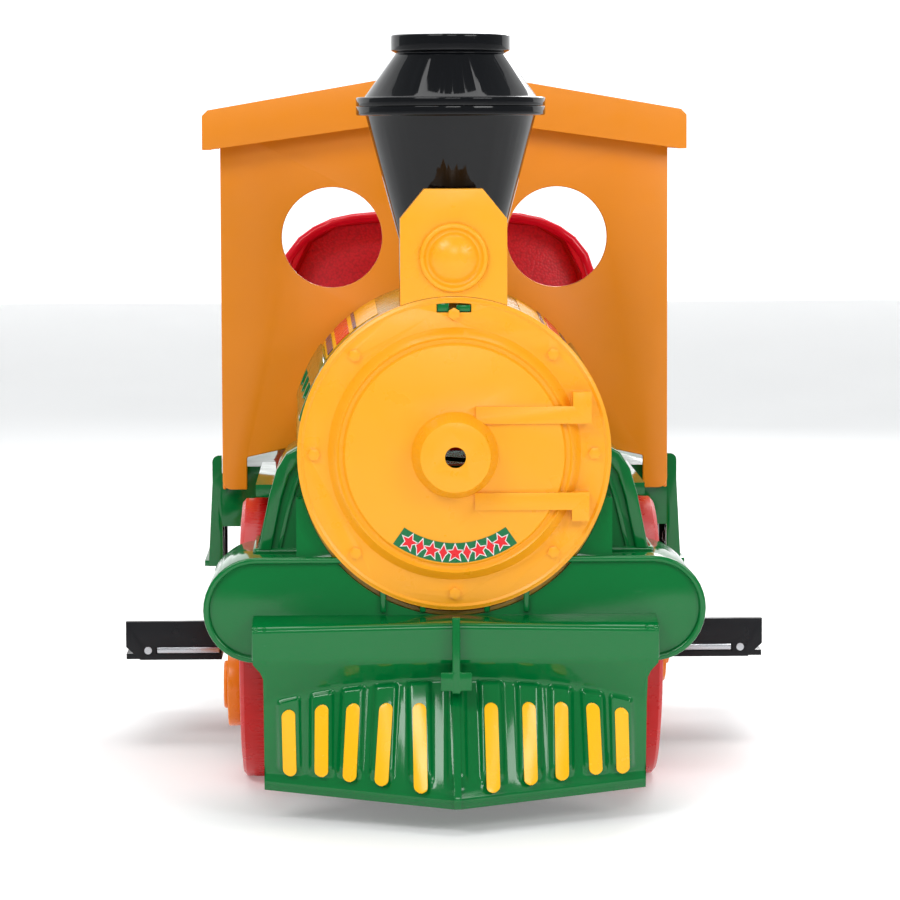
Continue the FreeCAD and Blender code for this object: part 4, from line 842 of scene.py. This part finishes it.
class OBJECT_OT_saddle_trim(bpy.types.Operator):
    """Add the raised borders round the saddle and the cylinder fronts"""

    bl_idname = "locomotive.saddle_trim"
    bl_label = "Saddle trim"

    def execute(self, context):
        pieces = []
        lip = prism("cylinder_lip", stadium(0.2036, 0.1296, 0.2154), -0.3386, 5.0 * MM)
        carve(lip, prism("lip_hole", stadium(0.1985, 0.1347, 0.2103), -0.35, 0.03))
        soften(lip, 1.6 * MM, 3)
        pieces.append(lip)
        width = sizes().border / MM
        for side in (-1, 1):
            outer = [(159.4, 217), (150.4, 262), (144.4, 283), (136.2, 296.3), (124, 303.3), (112, 305)]
            inner = [(110, 305 - width), (120, 302 - width), (136.2 - width * 0.8, 293 - width * 0.6),
                     (144 - width, 279), (150 - width, 260), (159 - width, 217)]
            outline = [(side * x * MM, z * MM) for x, z in outer + inner]
            border = prism("saddle_border", outline, -0.3040, 5.0 * MM)
            soften(border, 1.8 * MM, 3)
            pieces.append(border)
            second = [(side * (x - 4.5 if n < 6 else x - 2.5) * MM, (z - (3 if n < 5 else 0)) * MM)
                      for n, (x, z) in enumerate(inner)]
            back = [(side * (x - 8 if n < 6 else x) * MM, (z - (5.5 if n < 5 else 0)) * MM)
                    for n, (x, z) in enumerate(inner)]
            line = prism("saddle_line", second + back[::-1], -0.3022, 3.0 * MM)
            soften(line, 0.9 * MM, 2)
            pieces.append(line)
            for at in (26, 58):
                ridge = block("centre_ridge", (side * at * MM - 0.0025, -0.3395, 0.170),
                              (side * at * MM + 0.0025, -0.3345, 0.2135))
                soften(ridge, 1.8 * MM, 3)
                pieces.append(ridge)
            foot = ((0.1275, -0.301), (0.160, -0.301), (0.1615, -0.299), (0.1615, -0.201))
            fillet = tube("saddle_foot", [(side * x, y, 0.2165) for x, y in foot], 0.0028)
            pieces.append(fillet)
        for piece in pieces:
            smooth(piece, 40)
        trim = join("saddle_and_cylinder_trim", *pieces)
        finish_piece(trim, "chassis", "green", MATERIALS["green"])
        return {"FINISHED"}


# ---------------------------------------------------------------- wheels

WHEELS = (("wheel_front_left", -1, -0.105), ("wheel_rear_left", -1, 0.178),
          ("wheel_front_right", 1, -0.105), ("wheel_rear_right", 1, 0.178))


class OBJECT_OT_wheels(bpy.types.Operator):
    """Round the wheels' edges, wrap fine ribs round their treads and cap the crank pins"""

    bl_idname = "locomotive.wheels"
    bl_label = "Wheels"

    def execute(self, context):
        ribs = sizes().tread_ribs
        for name, side, axle in WHEELS:
            wheel = refined(name, name + "_moulded", 1.3 * MM, 3)
            finish_piece(wheel, name, "wheel_red", MATERIALS["wheel"], replaces=(name,))

            def place(u, v, side=side, axle=axle):
                turn = 2 * math.pi * u
                across = 0.1405 + 0.0305 * v
                wave = max(0.0, math.sin(turn * ribs)) ** 0.6 if 0.06 < v < 0.94 else 0.0
                radius = WHEEL_RADIUS + 0.0006 * wave
                return (side * across, axle + radius * math.cos(turn), WHEEL_Z + radius * math.sin(turn))

            tread = sheet_from("tread_" + name[6:], ribs * 4 + 1, 7, place)
            tidy_mesh(tread)
            thicken(tread, 0.9 * MM)
            tidy_mesh(tread)
            smooth(tread, 45)
            finish_piece(tread, name, "wheel_red", MATERIALS["wheel"])
            cap = refined("crank_cap" + name[5:], "cap" + name[5:], 1.0 * MM, 3)
            finish_piece(cap, name, "rod_orange", MATERIALS["rod"], replaces=("crank_cap" + name[5:],))
            trim = []
            for inner, outer, out in ((0.105, 0.109, 0.1779), (0.024, 0.028, 0.1779)):
                profile = [(side * 0.174, inner), (side * out, inner),
                           (side * (out + 0.0009), (inner + outer) / 2),
                           (side * out, outer), (side * 0.174, outer)]
                trim.append(turn_profile("ring", profile, (0, axle, WHEEL_Z), "X", 72))
            for piece in trim:
                smooth(piece, 40)
            rings = join("rings" + name[5:], *trim)
            finish_piece(rings, name, "wheel_red", MATERIALS["wheel"])
        return {"FINISHED"}


# ---------------------------------------------------------------- door, label and side prints

def star(radius, points=5, inner=0.45):
    """A star's outline, point up."""
    reach = [radius if k % 2 == 0 else radius * inner for k in range(points * 2)]
    return [(far * math.sin(math.pi * k / points), far * math.cos(math.pi * k / points))
            for k, far in enumerate(reach)]


def lozenge(width, height):
    """A narrow four-pointed outline with slightly hollow sides."""
    return [(0, height), (width * 0.55, height * 0.3), (width, 0), (width * 0.55, -height * 0.3),
            (0, -height), (-width * 0.55, -height * 0.3), (-width, 0), (-width * 0.55, height * 0.3)]


class OBJECT_OT_prints(bpy.types.Operator):
    """Add the door's rings, the shapes on its label and the stripes on the boiler's flanks"""

    bl_idname = "locomotive.prints"
    bl_label = "Door and prints"

    def execute(self, context):
        centre = (0, 0, DOOR_Z)
        rings = []
        for radius, half, front in ((0.1238, 0.0026, -0.3405), (0.0985, 0.0014, -0.3415)):
            profile = [(front + 0.003, radius - half), (front + 0.0004, radius - half * 0.8),
                       (front - 0.0006, radius), (front + 0.0004, radius + half * 0.8),
                       (front + 0.003, radius + half)]
            rings.append(turn_profile("door_ring", profile, centre, "Y", 128))
        for piece in rings:
            smooth(piece, 50)
        trim = join("door_rings", *rings)
        finish_piece(trim, "chassis", "door_yellow", MATERIALS["door"])
        edges, cores = [], []
        for k in range(9):
            turn = math.radians(-28 + 7 * k)
            place = (0.079 * math.sin(turn), DOOR_Z - 0.079 * math.cos(turn))
            for grown, front, into in ((1.27, -0.3531, edges), (1.0, -0.3534, cores)):
                shape = star(6.6 * grown) if k % 2 == 0 else lozenge(3.4 * grown, 6.4 * grown)
                outline = [(place[0] + (x * math.cos(turn) - z * math.sin(turn)) * MM,
                            place[1] + (x * math.sin(turn) + z * math.cos(turn)) * MM) for x, z in shape]
                into.append(prism("shape", outline, front, 0.0011))
        finish_piece(join("label_edges", *edges), "chassis", "label_print", MATERIALS["white"])
        finish_piece(join("label_shapes", *cores), "chassis", "label_print", MATERIALS["red"])
        bands = {"red": [], "navy": []}
        for side in (-1, 1):
            for low, high, finish in ((37.5, 40.5, "navy"), (42.5, 49.0, "red"), (51.0, 52.5, "navy")):
                def place(u, v, side=side, low=low, high=high):
                    turn, y = math.radians(low + (high - low) * v), -0.198 + 0.186 * u
                    radius = BOILER_NOSE + (y - BOILER_FRONT) * BOILER_TAPER + 0.0011
                    return (side * radius * math.cos(turn), y, BOILER_Z + radius * math.sin(turn))
                strip = sheet_from("side_stripe", 25, 7, place)
                thicken(strip, 0.5 * MM, offset=0)
                tidy_mesh(strip)
                smooth(strip, 40)
                bands[finish].append(strip)
        for finish, strips in bands.items():
            finish_piece(join("side_stripes_" + finish, *strips), "chassis", "side_print", MATERIALS[finish])
        return {"FINISHED"}


# ---------------------------------------------------------------- seat

def mirrored(half_outline):
    """The whole outline from its right half."""
    return half_outline + [(-x, z) for x, z in reversed(half_outline)]


class OBJECT_OT_seat_trim(bpy.types.Operator):
    """Add the bead round the seat's back and its pebbled panels"""

    bl_idname = "locomotive.seat_trim"
    bl_label = "Seat trim"

    def execute(self, context):
        half = [(0, 478), (60, 478), (84, 476), (104, 472), (122, 464), (136, 454), (148, 439),
                (154, 422), (157, 400), (158, 378), (158, 330)]
        path = [Vector((x * MM, 0.3335, (z - 3) * MM)) for x, z in
                [(x * 0.972, z) for x, z in reversed(half[1:])] + [(-x * 0.972, z) for x, z in half[1:]]]
        bead = tube("seat_bead", path, sizes().rim_bead)
        finish_piece(bead, "seat", "red", MATERIALS["seat"])
        outline = mirrored([(62, 468), (98, 464), (122, 449), (138, 417), (140, 378), (140, 292)])
        panel = prism("seat_back_panel", [(x * MM, z * MM) for x, z in outline], 0.3566, 0.0019)
        soften(panel, 0.8 * MM, 2)
        cushion = block("seat_pan_panel", (-0.118, 0.176, 0.2840), (0.118, 0.330, 0.2866))
        soften(cushion, 1.0 * MM, 2)
        panels = join("seat_panels", panel, cushion)
        smooth(panels, 35)
        finish_piece(panels, "seat", "red", MATERIALS["pebble"])
        return {"FINISHED"}


# ---------------------------------------------------------------- panel, registration, run

STEPS = ("stage", "finishes", "mouldings", "plough", "saddle_trim", "wheels", "prints", "seat_trim")


class VIEW3D_PT_locomotive(bpy.types.Panel):
    """Everything the locomotive's looks are made of"""

    bl_label = "Locomotive"
    bl_idname = "VIEW3D_PT_locomotive"
    bl_space_type = "VIEW_3D"
    bl_region_type = "UI"
    bl_category = "Locomotive"

    def draw(self, context):
        column = self.layout.column()
        for step in STEPS:
            column.operator("locomotive." + step)
        for group in (context.scene.locomotive_sizes, context.scene.locomotive_colours):
            box = self.layout.box()
            for name in group.__annotations__:
                box.prop(group, name)


CLASSES = (
    LocomotiveColours, LocomotiveSizes, OBJECT_OT_stage, OBJECT_OT_finishes, OBJECT_OT_mouldings,
    OBJECT_OT_plough, OBJECT_OT_saddle_trim, OBJECT_OT_wheels, OBJECT_OT_prints, OBJECT_OT_seat_trim,
    VIEW3D_PT_locomotive,
)


def register():
    for kind in CLASSES:
        bpy.utils.register_class(kind)
    bpy.types.Scene.locomotive_colours = PointerProperty(type=LocomotiveColours)
    bpy.types.Scene.locomotive_sizes = PointerProperty(type=LocomotiveSizes)


def unregister():
    del bpy.types.Scene.locomotive_sizes
    del bpy.types.Scene.locomotive_colours
    for kind in reversed(CLASSES):
        bpy.utils.unregister_class(kind)


def main():
    register()
    for step in STEPS:
        getattr(bpy.ops.locomotive, step)()


if __name__ == "__main__":
    main()
